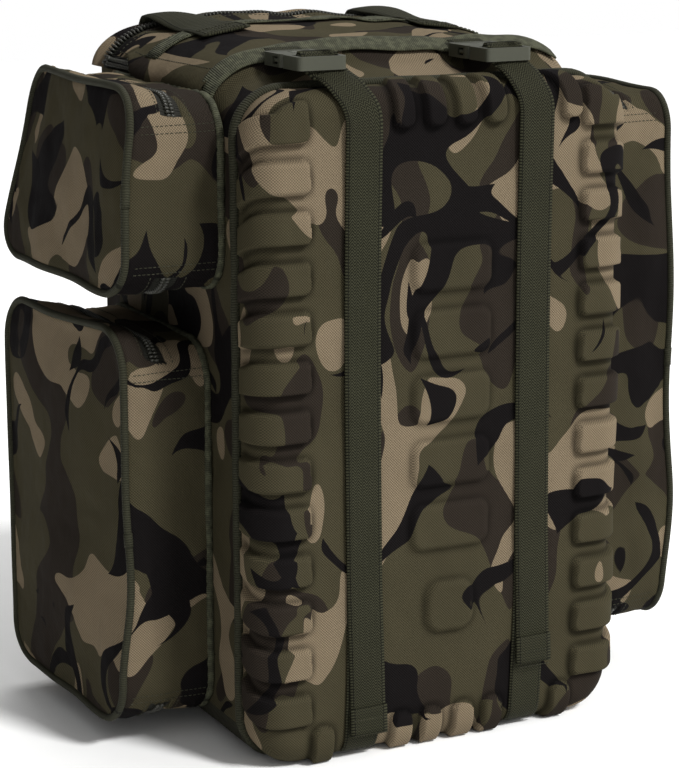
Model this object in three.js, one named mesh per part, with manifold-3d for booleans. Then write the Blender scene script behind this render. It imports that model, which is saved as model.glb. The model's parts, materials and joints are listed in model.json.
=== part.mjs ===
// Camouflage tackle backpack: a boxy fabric bag with a moulded front panel, a zipped lid,
// three zipped side pockets, two buckled front straps, a carry handle and a back harness.
// Millimetres, +Z up. The origin is the centre of the base, and the moulded front faces -Y.
import * as THREE from 'three';
import { mergeVertices } from 'three/addons/utils/BufferGeometryUtils.js';
import Module from 'manifold-3d';

const wasm = await Module();
wasm.setup();

// Driving dimensions
const GAP = 0.3;                    // clearance between touching pieces
const HALF_WIDTH = 175;             // bag body, centre to side wall
const SEAM_Y = -127;                // piping plane between moulded front and body
const BACK_Y = 168;                 // outside of the back wall
const WALL = 4;                     // padded fabric wall
const BASE_RADIUS = 30;             // lower side corners
const FRONT_FACE_Y = -170;          // outside of the moulded front
const FRONT_EDGE = 22;              // rounding of the moulded front's rim
const FRONT_RELIEF = 4.5;           // height of its raised blocks
const ZIP_TOP_Z = 576;              // zip band under the lid's side edge
const ZIP_LOW_Z = 564;
const ZIP_SPLIT_Z = 570;
const ZIP_FRONT_Y = 142;            // zip band across the back of the lid
const ZIP_REAR_Y = 158;
const ZIP_SPLIT_Y = 150;
const HINGE_Y = -71;                // fabric hinge of the lid, under the second binding
const LID_SWING = 1.6;              // room for the lid's rear corners as they swing up

// Height of the bag's top along Y, and the corner of its arched section:
// [y, crown height, corner depth, squareness of the arch]
const TOP_STATIONS = [
  [-127, 571, 40, 8], [-112, 573, 41, 7.4], [-98, 576.5, 42, 6.6], [-84, 583.5, 43, 6],
  [-71, 595, 44, 5.4], [-45, 600, 45, 5], [-15, 603.5, 46, 4.4], [20, 606, 46, 4],
  [100, 607, 46, 4], [142, 606.5, 46, 4], [158, 606, 46, 4], [168, 604, 45, 4],
];

const STRAP_WIDTH = 33;
const STRAP_THICK = 3.4;            // anchor layer and tail together
const BUCKLE = { width: 44, thick: 11, frontY: -150, mouthY: -118, rearY: -82, z: 590.5 };
const STRAPS = [
  { name: 'left', x: -81, buckleX: -106 },
  { name: 'right', x: 82, buckleX: 68 },
];
const BUCKLE_TRAVEL = 30;

// Side pockets: side of the bag, extents along Y and Z, depth out from the wall, lean of the
// outer face, and how far out the zip runs.
const POCKETS = [
  { name: 'upper_left_pocket', side: -1, front: -107, rear: 150, low: 402, high: 562,
    depth: 93, lean: 0.09, split: 46 },
  { name: 'lower_left_pocket', side: -1, front: -74, rear: 150, low: 22, high: 352,
    depth: 94, lean: 0.06, split: 47 },
  { name: 'right_pocket', side: 1, front: -100, rear: 150, low: 48, high: 546,
    depth: 95, lean: 0.10, split: 46 },
];
const POCKET_RADIUS = 36;
const POCKET_EDGE = 10;
const POCKET_WALL = 3;
const POCKET_ZIP_HALF = 10;         // half width of the zip band in the gusset
const POCKET_ZIP_START = 30;        // the zip stops this far behind the front gusset

const HANDLE_LEGS = [-112, 99];
const HANDLE_LEG_WIDTH = 44;

// ---------------------------------------------------------------- solids and helpers
const solidOf = (geometry) => {
  const bare = geometry.index ? geometry.clone() : geometry;
  bare.deleteAttribute('normal');
  bare.deleteAttribute('uv');
  const merged = mergeVertices(bare, 1e-4);
  const position = merged.attributes.position.array;
  return new wasm.Manifold(new wasm.Mesh({
    numProp: 3,
    vertProperties: Float32Array.from(position),
    triVerts: Uint32Array.from(merged.index.array),
  }));
};

const geometryOf = (solid) => {
  const mesh = solid.getMesh();
  const geometry = new THREE.BufferGeometry();
  geometry.setAttribute('position', new THREE.BufferAttribute(mesh.vertProperties, 3));
  geometry.setIndex(new THREE.BufferAttribute(mesh.triVerts, 1));
  geometry.computeVertexNormals();
  return geometry;
};

const box = (x0, x1, y0, y1, z0, z1) => {
  const geometry = new THREE.BoxGeometry(x1 - x0, y1 - y0, z1 - z0);
  geometry.translate((x0 + x1) / 2, (y0 + y1) / 2, (z0 + z1) / 2);
  return solidOf(geometry);
};

const FAR = 1000;
const above = (z) => box(-FAR, FAR, -FAR, FAR, z, FAR);
const below = (z) => box(-FAR, FAR, -FAR, FAR, -FAR, z);
const behind = (y) => box(-FAR, FAR, y, FAR, -FAR, FAR);
const ahead = (y) => box(-FAR, FAR, -FAR, y, -FAR, FAR);

const all = (...solids) => solids.reduce((a, b) => a.add(b));
const common = (...solids) => solids.reduce((a, b) => a.intersect(b));

const shapeOf = (points) => new THREE.Shape(points.map(([a, b]) => new THREE.Vector2(a, b)));

// Shape in (x, z), extruded from yFront back to yRear.
const AXES_Y = new THREE.Matrix4().set(1, 0, 0, 0, 0, 0, -1, 0, 0, 1, 0, 0, 0, 0, 0, 1);
const extrudeY = (shape, yFront, yRear, options = {}) => {
  const geometry = new THREE.ExtrudeGeometry(shape,
    { depth: yRear - yFront, bevelEnabled: false, steps: 1, curveSegments: 4, ...options });
  return geometry.applyMatrix4(AXES_Y).translate(0, yRear, 0);
};

// Shape in (y, z), extruded along X.
const AXES_X = new THREE.Matrix4().set(0, 0, 1, 0, 1, 0, 0, 0, 0, 1, 0, 0, 0, 0, 0, 1);
const extrudeX = (shape, x0, x1, options = {}) => {
  const geometry = new THREE.ExtrudeGeometry(shape,
    { depth: x1 - x0, bevelEnabled: false, steps: 1, curveSegments: 4, ...options });
  return geometry.applyMatrix4(AXES_X).translate(x0, 0, 0);
};

// Shape in (x, y), extruded up.
const extrudeZ = (shape, z0, z1, options = {}) => new THREE.ExtrudeGeometry(shape,
  { depth: z1 - z0, bevelEnabled: false, steps: 1, curveSegments: 3, ...options })
  .translate(0, 0, z0);

const warp = (geometry, move) => {
  const position = geometry.attributes.position;
  const v = new THREE.Vector3();
  for (let i = 0; i < position.count; i++) {
    v.fromBufferAttribute(position, i);
    move(v);
    position.setXYZ(i, v.x, v.y, v.z);
  }
  return geometry;
};

const roundedRect = (a0, a1, b0, b1, radius) => {
  const shape = new THREE.Shape();
  shape.moveTo(a0 + radius, b0);
  shape.lineTo(a1 - radius, b0);
  shape.absarc(a1 - radius, b0 + radius, radius, -Math.PI / 2, 0);
  shape.lineTo(a1, b1 - radius);
  shape.absarc(a1 - radius, b1 - radius, radius, 0, Math.PI / 2);
  shape.lineTo(a0 + radius, b1);
  shape.absarc(a0 + radius, b1 - radius, radius, Math.PI / 2, Math.PI);
  shape.lineTo(a0, b0 + radius);
  shape.absarc(a0 + radius, b0 + radius, radius, Math.PI, 1.5 * Math.PI);
  return shape;
};

const addHole = (shape, a0, a1, b0, b1) => {
  shape.holes.push(new THREE.Path([
    new THREE.Vector2(a0, b0), new THREE.Vector2(a0, b1),
    new THREE.Vector2(a1, b1), new THREE.Vector2(a1, b0),
  ]));
  return shape;
};

// A ribbon of even thickness along a path of [y, z] points, spanning x0 to x1.
const ribbon = (path, thick, x0, x1, steps = 1) => {
  const left = [];
  const right = [];
  path.forEach(([y, z], i) => {
    const [py, pz] = path[Math.max(i - 1, 0)];
    const [ny, nz] = path[Math.min(i + 1, path.length - 1)];
    const length = Math.hypot(ny - py, nz - pz);
    const oy = -(nz - pz) / length * thick / 2;
    const oz = (ny - py) / length * thick / 2;
    left.push([y + oy, z + oz]);
    right.unshift([y - oy, z - oz]);
  });
  return extrudeX(shapeOf([...left, ...right]), x0, x1, { steps });
};

const arcPath = (cy, cz, radius, from, to, count) => Array.from({ length: count + 1 }, (_, i) => {
  const angle = THREE.MathUtils.degToRad(from + (to - from) * i / count);
  return [cy + radius * Math.cos(angle), cz + radius * Math.sin(angle)];
});

// ---------------------------------------------------------------- materials and the scene
const finishes = {
  camo_fabric: ['#55503c', 0.85], moulded_camo: ['#565039', 0.8], back_fabric: ['#3a3b2e', 0.9],
  webbing: ['#4a4c3b', 0.8], plastic: ['#474b40', 0.45], board: ['#2a2a28', 0.55],
  zip_tape: ['#1e1e1b', 0.7], zip_metal: ['#30302c', 0.4], air_mesh: ['#2c2d26', 0.95],
};
const pack = new THREE.Group();
const finish = (slot) => new THREE.MeshStandardMaterial({
  color: finishes[slot][0], roughness: finishes[slot][1], metalness: slot === 'zip_metal' ? 0.6 : 0,
});

const add = (name, slot, shape) => {
  const geometry = shape.isBufferGeometry ? shape : geometryOf(shape);
  const mesh = new THREE.Mesh(geometry, finish(slot));
  mesh.name = name;
  pack.add(mesh);
  return mesh;
};

// ---------------------------------------------------------------- bag body
// Outline of the bag seen from the front: a flat base with round corners, straight sides and a
// superellipse arch. The arch is drawn for the rear section and reshaped along Y afterwards.
const ARCH_STEPS = 16;
const REAR = { crown: 606, corner: 46, power: 4 };

const bagOutline = (inset) => {
  const half = HALF_WIDTH - inset;
  const shape = new THREE.Shape();
  shape.moveTo(-half + BASE_RADIUS - inset, inset);
  shape.lineTo(half - BASE_RADIUS + inset, inset);
  shape.absarc(half - BASE_RADIUS + inset, BASE_RADIUS, BASE_RADIUS - inset, -Math.PI / 2, 0);
  for (let i = 0; i <= ARCH_STEPS; i++) {
    const angle = Math.PI * i / ARCH_STEPS;
    const [x, z] = archPoint(angle, half, REAR.crown - inset, REAR.corner - inset / 2, REAR.power);
    shape.lineTo(x, z);
  }
  shape.absarc(-half + BASE_RADIUS - inset, BASE_RADIUS, BASE_RADIUS - inset, Math.PI, 1.5 * Math.PI);
  return shape;
};

function archPoint(angle, half, crown, corner, power) {
  const c = Math.cos(angle);
  const x = half * Math.sign(c) * Math.abs(c) ** (2 / power);
  return [Math.abs(c) < 1e-9 ? 0 : x, crown - corner + corner * Math.sin(angle)];
}

const stationAt = (y) => {
  const last = TOP_STATIONS.length - 1;
  const i = Math.max(0, Math.min(last - 1, TOP_STATIONS.findIndex((s) => s[0] > y) - 1));
  const [a, b] = y >= TOP_STATIONS[last][0]
    ? [TOP_STATIONS[last], TOP_STATIONS[last]] : [TOP_STATIONS[i], TOP_STATIONS[i + 1]];
  const t = a === b ? 0 : THREE.MathUtils.clamp((y - a[0]) / (b[0] - a[0]), 0, 1);
  return { crown: a[1] + (b[1] - a[1]) * t, corner: a[2] + (b[2] - a[2]) * t,
    power: a[3] + (b[3] - a[3]) * t };
};

// Height of the top's outer surface at a point of the plan.
const topHeight = (x, y) => {
  const { crown, corner, power } = stationAt(y);
  const side = Math.min(1, Math.abs(x) / HALF_WIDTH);
  return crown - corner + corner * Math.sqrt(Math.max(0, 1 - side ** power));
};

const reshapeTop = (inset) => (v) => {
  const { crown, corner, power } = stationAt(v.y);
  const rearSpring = REAR.crown - inset - (REAR.corner - inset / 2);
  const ownCorner = corner - inset / 2;
  const spring = crown - inset - ownCorner;
  if (v.z > rearSpring + 1e-6) {
    const sine = Math.min(1, (v.z - rearSpring) / (REAR.corner - inset / 2));
    const cosine = Math.sqrt(Math.max(0, 1 - sine * sine));
    v.x = (HALF_WIDTH - inset) * Math.sign(v.x) * cosine ** (2 / power);
    v.z = spring + ownCorner * sine;
  } else if (v.z > BASE_RADIUS) {
    v.z = BASE_RADIUS + (v.z - BASE_RADIUS) * (spring - BASE_RADIUS) / (rearSpring - BASE_RADIUS);
  }
};

// Extruded in one step per station, so that each ring of points lands on a station.
const bagSolid = (inset, yFront, yRear) => {
  const steps = TOP_STATIONS.length - 1;
  const geometry = extrudeY(bagOutline(inset), 0, steps, { steps });
  warp(geometry, (v) => {
    const i = Math.round(v.y);
    v.y = i === steps ? yRear : i === 0 ? yFront : TOP_STATIONS[i][0];
    reshapeTop(inset)(v);
  });
  return solidOf(geometry);
};

const BACK_INSIDE = BACK_Y - WALL;
const bagShell = bagSolid(0, SEAM_Y + GAP, BACK_Y)
  .subtract(bagSolid(WALL, SEAM_Y - 5, BACK_INSIDE));

const addBagBody = () => {
  add('base_panel', 'back_fabric', common(bagShell, below(BASE_RADIUS), ahead(BACK_INSIDE - GAP)));

  const walls = common(bagShell, above(BASE_RADIUS + GAP), ahead(BACK_INSIDE - GAP))
    .subtract(all(above(ZIP_LOW_Z - GAP),
      box(-FAR, FAR, -FAR, HINGE_Y + GAP, 531, FAR)));
  add('left_wall', 'camo_fabric', common(walls, box(-FAR, 0, -FAR, FAR, -FAR, FAR)));
  add('right_wall', 'camo_fabric', common(walls, box(0, FAR, -FAR, FAR, -FAR, FAR)));

  add('back_wall', 'back_fabric', common(bagShell, behind(BACK_INSIDE), below(ZIP_LOW_Z - GAP)));
  add('top_front_panel', 'camo_fabric', common(bagShell, ahead(HINGE_Y), above(531 + GAP)));
  add('rear_rim', 'camo_fabric', common(bagShell, behind(ZIP_REAR_Y + GAP), above(ZIP_LOW_Z)));
};

// The lid is the domed top behind the hinge. Each half of the zip is a band: along the side
// edges and across the back.
const addLid = () => {
  const top = common(bagShell, behind(HINGE_Y + GAP));
  const lidZone = common(above(ZIP_TOP_Z + GAP), ahead(ZIP_FRONT_Y - GAP));
  add('lid', 'camo_fabric', common(top, lidZone));

  const zipRear = common(top, ahead(ZIP_SPLIT_Y), above(ZIP_SPLIT_Z));
  add('lid_zip', 'zip_tape', zipRear.subtract(common(above(ZIP_TOP_Z), ahead(ZIP_FRONT_Y))));

  const rimZone = common(top, ahead(ZIP_REAR_Y), above(ZIP_LOW_Z));
  add('rim_zip', 'zip_tape',
    rimZone.subtract(common(above(ZIP_SPLIT_Z - GAP), ahead(ZIP_SPLIT_Y + LID_SWING))));
};

const addStiffeners = () => {
  add('base_board', 'board', extrudeZ(roundedRect(-142, 142, -118, 152, 12), 4.4, 7.4));
  add('frame_sheet', 'board', extrudeY(roundedRect(-152, 152, 20, 545, 25), 158, 160.5));
};

// ---------------------------------------------------------------- moulded front panel
const RIM_BEVEL = { bevelEnabled: true, bevelThickness: FRONT_EDGE, bevelSize: FRONT_EDGE,
  bevelOffset: -FRONT_EDGE, bevelSegments: 3, curveSegments: 4 };

const frontSolid = (grow) => {
  const shape = roundedRect(-HALF_WIDTH + 1 - grow, HALF_WIDTH - 1 + grow,
    1 - Math.min(grow, 0), 570 + grow, 40 + grow);
  const geometry = extrudeY(shape, FRONT_FACE_Y + FRONT_EDGE - grow, SEAM_Y + 30, RIM_BEVEL);
  return solidOf(geometry);
};

const block = (x, z, width, height, radius = 6) => solidOf(extrudeY(
  roundedRect(x - width / 2, x + width / 2, z - height / 2, z + height / 2, radius),
  FRONT_FACE_Y - 20, SEAM_Y - 9, { curveSegments: 1 }));

const addFrontPanel = () => {
  const blocks = [];
  for (let row = 0; row < 12; row++) {
    for (const side of [-1, 1]) blocks.push(block(side * 157, 52 + 41 * row, 56, 28));
  }
  for (const x of [-43, -14, 15, 43, 117]) blocks.push(block(x, 562, 19, 46));
  for (const x of [-118, -42, -13, 18, 47, 118]) blocks.push(block(x, 12, 20, 46));
  for (let i = 0; i < 5; i++) blocks.push(block(3, 196 + 56 * i, 74, 40, 10));
  blocks.push(block(3, 124, 46, 46, 14));
  const relief = common(frontSolid(FRONT_RELIEF), all(...blocks));
  const hollow = frontSolid(-WALL);
  const panel = frontSolid(0).add(relief).subtract(hollow).subtract(behind(SEAM_Y));
  add('front_panel', 'moulded_camo', panel);
};

// ---------------------------------------------------------------- side pockets
const pocketSolid = (pocket, inset, from) => {
  const { front, rear, low, high, depth, lean } = pocket;
  const edge = POCKET_EDGE - inset / 2;
  const shape = roundedRect(front + inset, rear - inset, low + inset, high - inset,
    POCKET_RADIUS - inset);
  const geometry = extrudeX(shape, from, depth - inset - edge, { bevelEnabled: true,
    bevelThickness: edge, bevelSize: edge, bevelOffset: -edge, bevelSegments: 2,
    curveSegments: 3 });
  const middle = (low + high) / 2;
  const half = (high - low) / 2;
  warp(geometry, (v) => {
    if (v.x > 0) v.x *= 1 - lean * (v.z - middle) / half;
  });
  return solidOf(geometry);
};

// Turns a pocket-side solid, built out along +X from the wall, onto its side of the bag.
const onSide = (solid, side) => {
  const geometry = geometryOf(solid).translate(HALF_WIDTH + GAP, 0, 0);
  if (side > 0) return geometry;
  const index = geometry.index.array;
  warp(geometry, (v) => { v.x = -v.x; });
  for (let i = 0; i < index.length; i += 3) [index[i], index[i + 1]] = [index[i + 1], index[i]];
  geometry.computeVertexNormals();
  return geometry;
};

const addPocket = (pocket) => {
  const { name, side, front, split } = pocket;
  const outside = pocketSolid(pocket, 0, -30).subtract(box(-FAR, 0, -FAR, FAR, -FAR, FAR));
  const inside = pocketSolid(pocket, POCKET_WALL, -30).subtract(box(-FAR, 2, -FAR, FAR, -FAR, FAR));
  const wall = outside.subtract(inside);
  const toSplit = box(-FAR, split, -FAR, FAR, -FAR, FAR);
  const fromSplit = box(split + GAP, FAR, -FAR, FAR, -FAR, FAR);
  const band = box(split - POCKET_ZIP_HALF, split + POCKET_ZIP_HALF,
    front + POCKET_ZIP_START, FAR, -FAR, FAR);
  const bandRoom = box(split - POCKET_ZIP_HALF - GAP, split + POCKET_ZIP_HALF + GAP,
    front + POCKET_ZIP_START - GAP, FAR, -FAR, FAR);
  const fabric = wall.subtract(bandRoom);
  const zip = common(wall, band);
  add(`${name}_tray`, 'camo_fabric', onSide(common(fabric, toSplit), side));
  add(`${name}_tray_zip`, 'zip_tape', onSide(common(zip, toSplit), side));
  add(`${name}_door`, 'camo_fabric', onSide(common(fabric, fromSplit), side));
  add(`${name}_door_zip`, 'zip_tape', onSide(common(zip, fromSplit), side));
};

// ---------------------------------------------------------------- zip sliders and pulls
// Built lying on the plane y = 0 and facing +Y, with the travel along Z and the pull hanging
// down from its pivot at z = 0.
const SLIDER = { width: 13, length: 17, plate: 4 };
const sliderSolid = () => {
  const half = SLIDER.width / 2;
  const outline = shapeOf([[-half, -8], [half, -8], [half, 3], [half - 3, 9], [3 - half, 9],
    [-half, 3]]);
  const plate = solidOf(extrudeY(outline, 0, SLIDER.plate));
  const bridge = box(-1.6, 1.6, SLIDER.plate - 0.5, SLIDER.plate + 4.4, -6, 6);
  const eye = box(-5, 5, SLIDER.plate, SLIDER.plate + 3, -4, 4);
  return plate.add(bridge.subtract(eye));
};

const PULL_PIVOT = SLIDER.plate + 1.5;
const pullSolid = () => {
  const outline = shapeOf([[-4.5, 0.9], [-4.5, -13], [-6, -17], [-6, -40], [-4, -43], [4, -43],
    [6, -40], [6, -17], [4.5, -13], [4.5, 0.9]]);
  addHole(outline, -2.8, 2.8, -9, -0.9);
  return extrudeY(outline, PULL_PIVOT - 0.9, PULL_PIVOT + 0.9);
};

const SLIDER_HEIGHT = 82;           // pocket slider above its pocket's lowest edge
const addPocketSlider = (pocket) => {
  const { name, side, rear, low, split } = pocket;
  const place = [side * (HALF_WIDTH + GAP + split + GAP / 2), rear + GAP, low + SLIDER_HEIGHT];
  add(`${name}_slider`, 'zip_metal', geometryOf(sliderSolid()).translate(...place));
  add(`${name}_pull`, 'zip_metal', pullSolid().translate(...place));
};

// The main slider sits on the right-hand zip and travels along Y; its pull points forward.
const MAIN_SLIDER = { y: 95, x: HALF_WIDTH + 0.6 };
const addMainSlider = () => {
  const turn = new THREE.Matrix4().set(0, 1, 0, MAIN_SLIDER.x, 0, 0, 1, MAIN_SLIDER.y,
    1, 0, 0, ZIP_SPLIT_Z, 0, 0, 0, 1);
  add('main_zip_slider', 'zip_metal', geometryOf(sliderSolid()).applyMatrix4(turn));
  add('main_zip_pull', 'zip_metal', pullSolid().applyMatrix4(turn));
};

// ---------------------------------------------------------------- front straps and buckles
const BEND = FRONT_EDGE + STRAP_THICK / 2 + GAP + 0.2;
const STRAP_Y = FRONT_FACE_Y + FRONT_EDGE;
const STRAP_TOP_Z = 570 - FRONT_EDGE;
const STRAP_LOW_Z = 1 + FRONT_EDGE;

// Near the top each strap leans sideways to reach its buckle.
const LEAN_FROM_Z = 540;
const leanTo = (strap) => (v) => {
  const t = THREE.MathUtils.clamp((v.z - LEAN_FROM_Z) / (BUCKLE.z - LEAN_FROM_Z), 0, 1);
  v.x += (strap.buckleX - strap.x) * t * t;
};

const addStrap = (strap) => {
  const x0 = strap.x - STRAP_WIDTH / 2;
  const x1 = strap.x + STRAP_WIDTH / 2;
  const face = [
    ...arcPath(STRAP_Y, STRAP_LOW_Z, BEND, 228, 180, 3),
    ...arcPath(STRAP_Y, STRAP_TOP_Z, BEND, 180, 138, 3),
  ];
  add(`${strap.name}_front_strap`, 'webbing', warp(ribbon(face, STRAP_THICK, x0, x1), leanTo(strap)));
  const loop = [
    [STRAP_Y - 18, STRAP_TOP_Z + 19.6], [-158.5, 576], [BUCKLE.frontY - 4, 584],
    [BUCKLE.frontY - 2.4, BUCKLE.z],
  ];
  add(`${strap.name}_strap_loop`, 'webbing', warp(ribbon(loop, STRAP_THICK, x0, x1), leanTo(strap)));
};

const addBuckle = (strap) => {
  const half = BUCKLE.width / 2;
  const { frontY, mouthY, rearY, thick, z } = BUCKLE;
  const tongueEnd = mouthY + 22;

  const slot = (y0, y1) => box(-half + 4, half - 4, y0, y1, -FAR, FAR);
  const frame = solidOf(extrudeZ(roundedRect(-half, half, frontY, mouthY - GAP, 4),
    -thick / 2, thick / 2, { curveSegments: 2 }));
  const rails = frame.subtract(all(slot(frontY + 4, frontY + 11), slot(frontY + 15, frontY + 21)));
  const guide = box(-4, 4, mouthY - 6, tongueEnd - 2, -2.5, 2.5);
  const prongEdge = [[10, mouthY - 6], [14, mouthY - 6], [14, mouthY + 6], [17.5, mouthY + 9],
    [17.5, mouthY + 16], [13, tongueEnd], [10, tongueEnd]];
  const prong = (side) => solidOf(extrudeZ(shapeOf(prongEdge.map(([x, y]) => [side * x, y])),
    -2.5, 2.5));
  const plug = all(rails, guide, prong(1), prong(-1));
  add(`${strap.name}_buckle_plug`, 'plastic', geometryOf(plug).translate(strap.buckleX, 0, z));

  const casing = solidOf(extrudeZ(roundedRect(-half, half, mouthY, rearY, 5),
    -thick / 2, thick / 2, { curveSegments: 2 }));
  const cavity = box(-18.5, 18.5, mouthY - 5, tongueEnd + 2, -3.2, 3.2);
  const windows = box(-FAR, FAR, mouthY + 7, mouthY + 17, -3.2, 3.2);
  const socket = casing.subtract(all(cavity, windows, slot(rearY - 8, rearY - 4)));
  add(`${strap.name}_buckle_socket`, 'plastic', geometryOf(socket).translate(strap.buckleX, 0, z));

  const tab = ribbon([[rearY + GAP + 0.2, z + 1], [rearY + 5, z + 4.5], [HINGE_Y - 1, z + 7.5]], 1.6,
    strap.buckleX - STRAP_WIDTH / 2, strap.buckleX + STRAP_WIDTH / 2);
  add(`${strap.name}_buckle_tab`, 'webbing', tab);
};

// ---------------------------------------------------------------- carry handle
// Two webbing legs sewn to the lid, arching over the zip and down behind the back to the grip.
const followTop = (v) => {
  v.z += topHeight(v.x, 60) - topHeight(0, 60);
};

const addHandle = () => {
  const leg = [[50, 609], [90, 610.5], [125, 613], [150, 614.5], [170, 611], [181, 602], [185, 592]];
  HANDLE_LEGS.forEach((x, i) => {
    const geometry = ribbon(leg, 2.6, x - HANDLE_LEG_WIDTH / 2, x + HANDLE_LEG_WIDTH / 2, 4);
    add(`handle_leg_${i === 0 ? 'left' : 'right'}`, 'webbing', warp(geometry, followTop));
  });
  const oval = new THREE.Shape();
  oval.absellipse(0, 0, 8, 12, 0, 2 * Math.PI);
  const grip = extrudeX(oval, HANDLE_LEGS[0] - 24, HANDLE_LEGS[1] + 24, { curveSegments: 10 });
  add('handle_grip', 'webbing', grip.translate(0, 186, 566));
};

// ---------------------------------------------------------------- back pads and harness
const PAD_BEVEL = { bevelEnabled: true, bevelThickness: 6, bevelSize: 8, bevelOffset: -8,
  bevelSegments: 1, curveSegments: 3 };
const pad = (x0, x1, z0, z1, y0, y1) => extrudeY(roundedRect(x0, x1, z0, z1, 24),
  y0 + 6, y1 - 6, PAD_BEVEL);

// Plan of one shoulder strap seen from behind, on the +X side, from yoke to adjuster.
const SHOULDER_EDGE = [[48, 528], [44, 470], [46, 400], [58, 320], [78, 250], [90, 222]];
const SHOULDER_WIDTH = [62, 66, 68, 62, 46, 36];

const ANCHOR = { x: 156, low: 92, top: 124 };

const addHarness = () => {
  const face = BACK_Y + GAP;
  add('back_pad_left', 'air_mesh', pad(-138, -12, 130, 505, face, face + 16));
  add('back_pad_right', 'air_mesh', pad(12, 138, 130, 505, face, face + 16));
  add('lumbar_pad', 'air_mesh', pad(-138, 138, 34, 118, face, face + 20));
  add('strap_yoke', 'webbing', extrudeY(roundedRect(-125, 125, 508, 545, 10), face, face + 5));

  for (const [side, word] of [[-1, 'left'], [1, 'right']]) {
    const inner = SHOULDER_EDGE.map(([x, z]) => [side * x, z]);
    const outer = SHOULDER_EDGE.map(([x, z], i) => [side * (x + SHOULDER_WIDTH[i]), z]).reverse();
    const outline = shapeOf(side > 0 ? [...inner, ...outer] : [...outer, ...inner].reverse());
    add(`${word}_shoulder_strap`, 'back_fabric', extrudeY(outline, face + 16.4, face + 28));

    const lockX = side * (90 + 18);
    const lock = roundedRect(lockX - 19, lockX + 19, 188, 221, 3);
    addHole(lock, lockX - 14, lockX + 14, 193, 198);
    addHole(lock, lockX - 14, lockX + 14, 202, 207);
    addHole(lock, lockX - 14, lockX + 14, 211, 216);
    add(`${word}_strap_adjuster`, 'plastic', extrudeY(lock, face + 20.4, face + 24.4));

    const anchorX = side * ANCHOR.x;
    const run = [[lockX - 12.5, 187.6], [lockX + 12.5, 187.6], [anchorX + 12.5, 132],
      [anchorX + 12.5, ANCHOR.top + GAP], [anchorX - 12.5, ANCHOR.top + GAP], [anchorX - 12.5, 132]];
    add(`${word}_lower_webbing`, 'webbing', extrudeY(shapeOf(run), face + 21, face + 23));
    add(`${word}_webbing_anchor`, 'webbing',
      extrudeY(roundedRect(anchorX - 15, anchorX + 15, ANCHOR.low, ANCHOR.top, 4), face, face + 24));
  }
};

addFrontPanel();
addBagBody();
addLid();
addStiffeners();
POCKETS.forEach(addPocket);
POCKETS.forEach(addPocketSlider);
addMainSlider();
STRAPS.forEach(addStrap);
STRAPS.forEach(addBuckle);
addHandle();
addHarness();

export default pack;
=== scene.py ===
"""Camouflage tackle rucksack: the visual model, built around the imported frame.

Shapes are worked out in millimetres, in the frame's axes (+Z up, moulded front facing -Y), and
turned into metres when a mesh is made.
"""
import json
import math

import bpy
import numpy as np
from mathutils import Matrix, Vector

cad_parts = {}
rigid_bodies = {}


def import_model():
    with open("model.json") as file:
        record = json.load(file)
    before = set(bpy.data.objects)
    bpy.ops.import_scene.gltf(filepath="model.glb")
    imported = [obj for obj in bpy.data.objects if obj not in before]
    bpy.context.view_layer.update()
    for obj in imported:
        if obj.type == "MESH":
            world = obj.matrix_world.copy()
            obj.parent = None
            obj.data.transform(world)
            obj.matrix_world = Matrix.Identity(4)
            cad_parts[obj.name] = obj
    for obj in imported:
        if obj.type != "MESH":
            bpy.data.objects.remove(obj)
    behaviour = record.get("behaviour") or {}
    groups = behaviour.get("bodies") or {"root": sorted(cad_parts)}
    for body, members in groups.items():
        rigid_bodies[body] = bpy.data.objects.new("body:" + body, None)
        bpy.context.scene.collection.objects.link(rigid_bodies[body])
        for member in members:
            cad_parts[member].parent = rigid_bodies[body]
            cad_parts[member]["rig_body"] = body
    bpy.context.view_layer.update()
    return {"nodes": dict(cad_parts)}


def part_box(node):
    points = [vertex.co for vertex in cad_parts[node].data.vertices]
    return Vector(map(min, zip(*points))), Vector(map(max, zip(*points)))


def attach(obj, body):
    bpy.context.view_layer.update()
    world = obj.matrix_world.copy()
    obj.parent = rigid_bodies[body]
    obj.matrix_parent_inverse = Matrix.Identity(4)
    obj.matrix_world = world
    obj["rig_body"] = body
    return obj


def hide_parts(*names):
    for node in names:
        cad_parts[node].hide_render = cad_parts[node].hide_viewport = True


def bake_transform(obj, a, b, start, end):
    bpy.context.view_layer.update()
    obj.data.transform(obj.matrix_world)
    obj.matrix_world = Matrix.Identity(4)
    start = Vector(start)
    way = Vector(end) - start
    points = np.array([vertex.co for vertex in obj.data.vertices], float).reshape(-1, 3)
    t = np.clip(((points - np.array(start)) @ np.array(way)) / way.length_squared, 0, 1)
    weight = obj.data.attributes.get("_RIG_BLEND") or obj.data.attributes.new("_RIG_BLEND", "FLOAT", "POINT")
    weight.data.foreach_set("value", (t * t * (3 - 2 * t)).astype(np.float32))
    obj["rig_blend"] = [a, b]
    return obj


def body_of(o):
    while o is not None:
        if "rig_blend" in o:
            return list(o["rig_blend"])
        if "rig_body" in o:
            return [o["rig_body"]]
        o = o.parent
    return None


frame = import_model()
MM = 0.001


def span(node):
    """Lowest and highest corner of a CAD node, in millimetres."""
    low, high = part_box(node)
    return np.array(low) / MM, np.array(high) / MM


# ---------------------------------------------------------------- driving dimensions
PANEL_LOW, PANEL_HIGH = span("front_panel")
HALF_WIDTH = 175.0
SIDES = (-1, 1)        # left and right, as signs of x
SEAM_Y = PANEL_HIGH[1]
HINGE_Y = span("top_front_panel")[1][1]
BACK_Y = span("back_wall")[1][1]
ZIP_Z = span("lid_zip")[0][2]
ZIP_Y = span("lid_zip")[1][1]
RIM_Z = span("rim_zip")[0][2]
RIM_Y = span("rim_zip")[1][1]
LID_REAR_Y = span("lid")[1][1]

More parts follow.
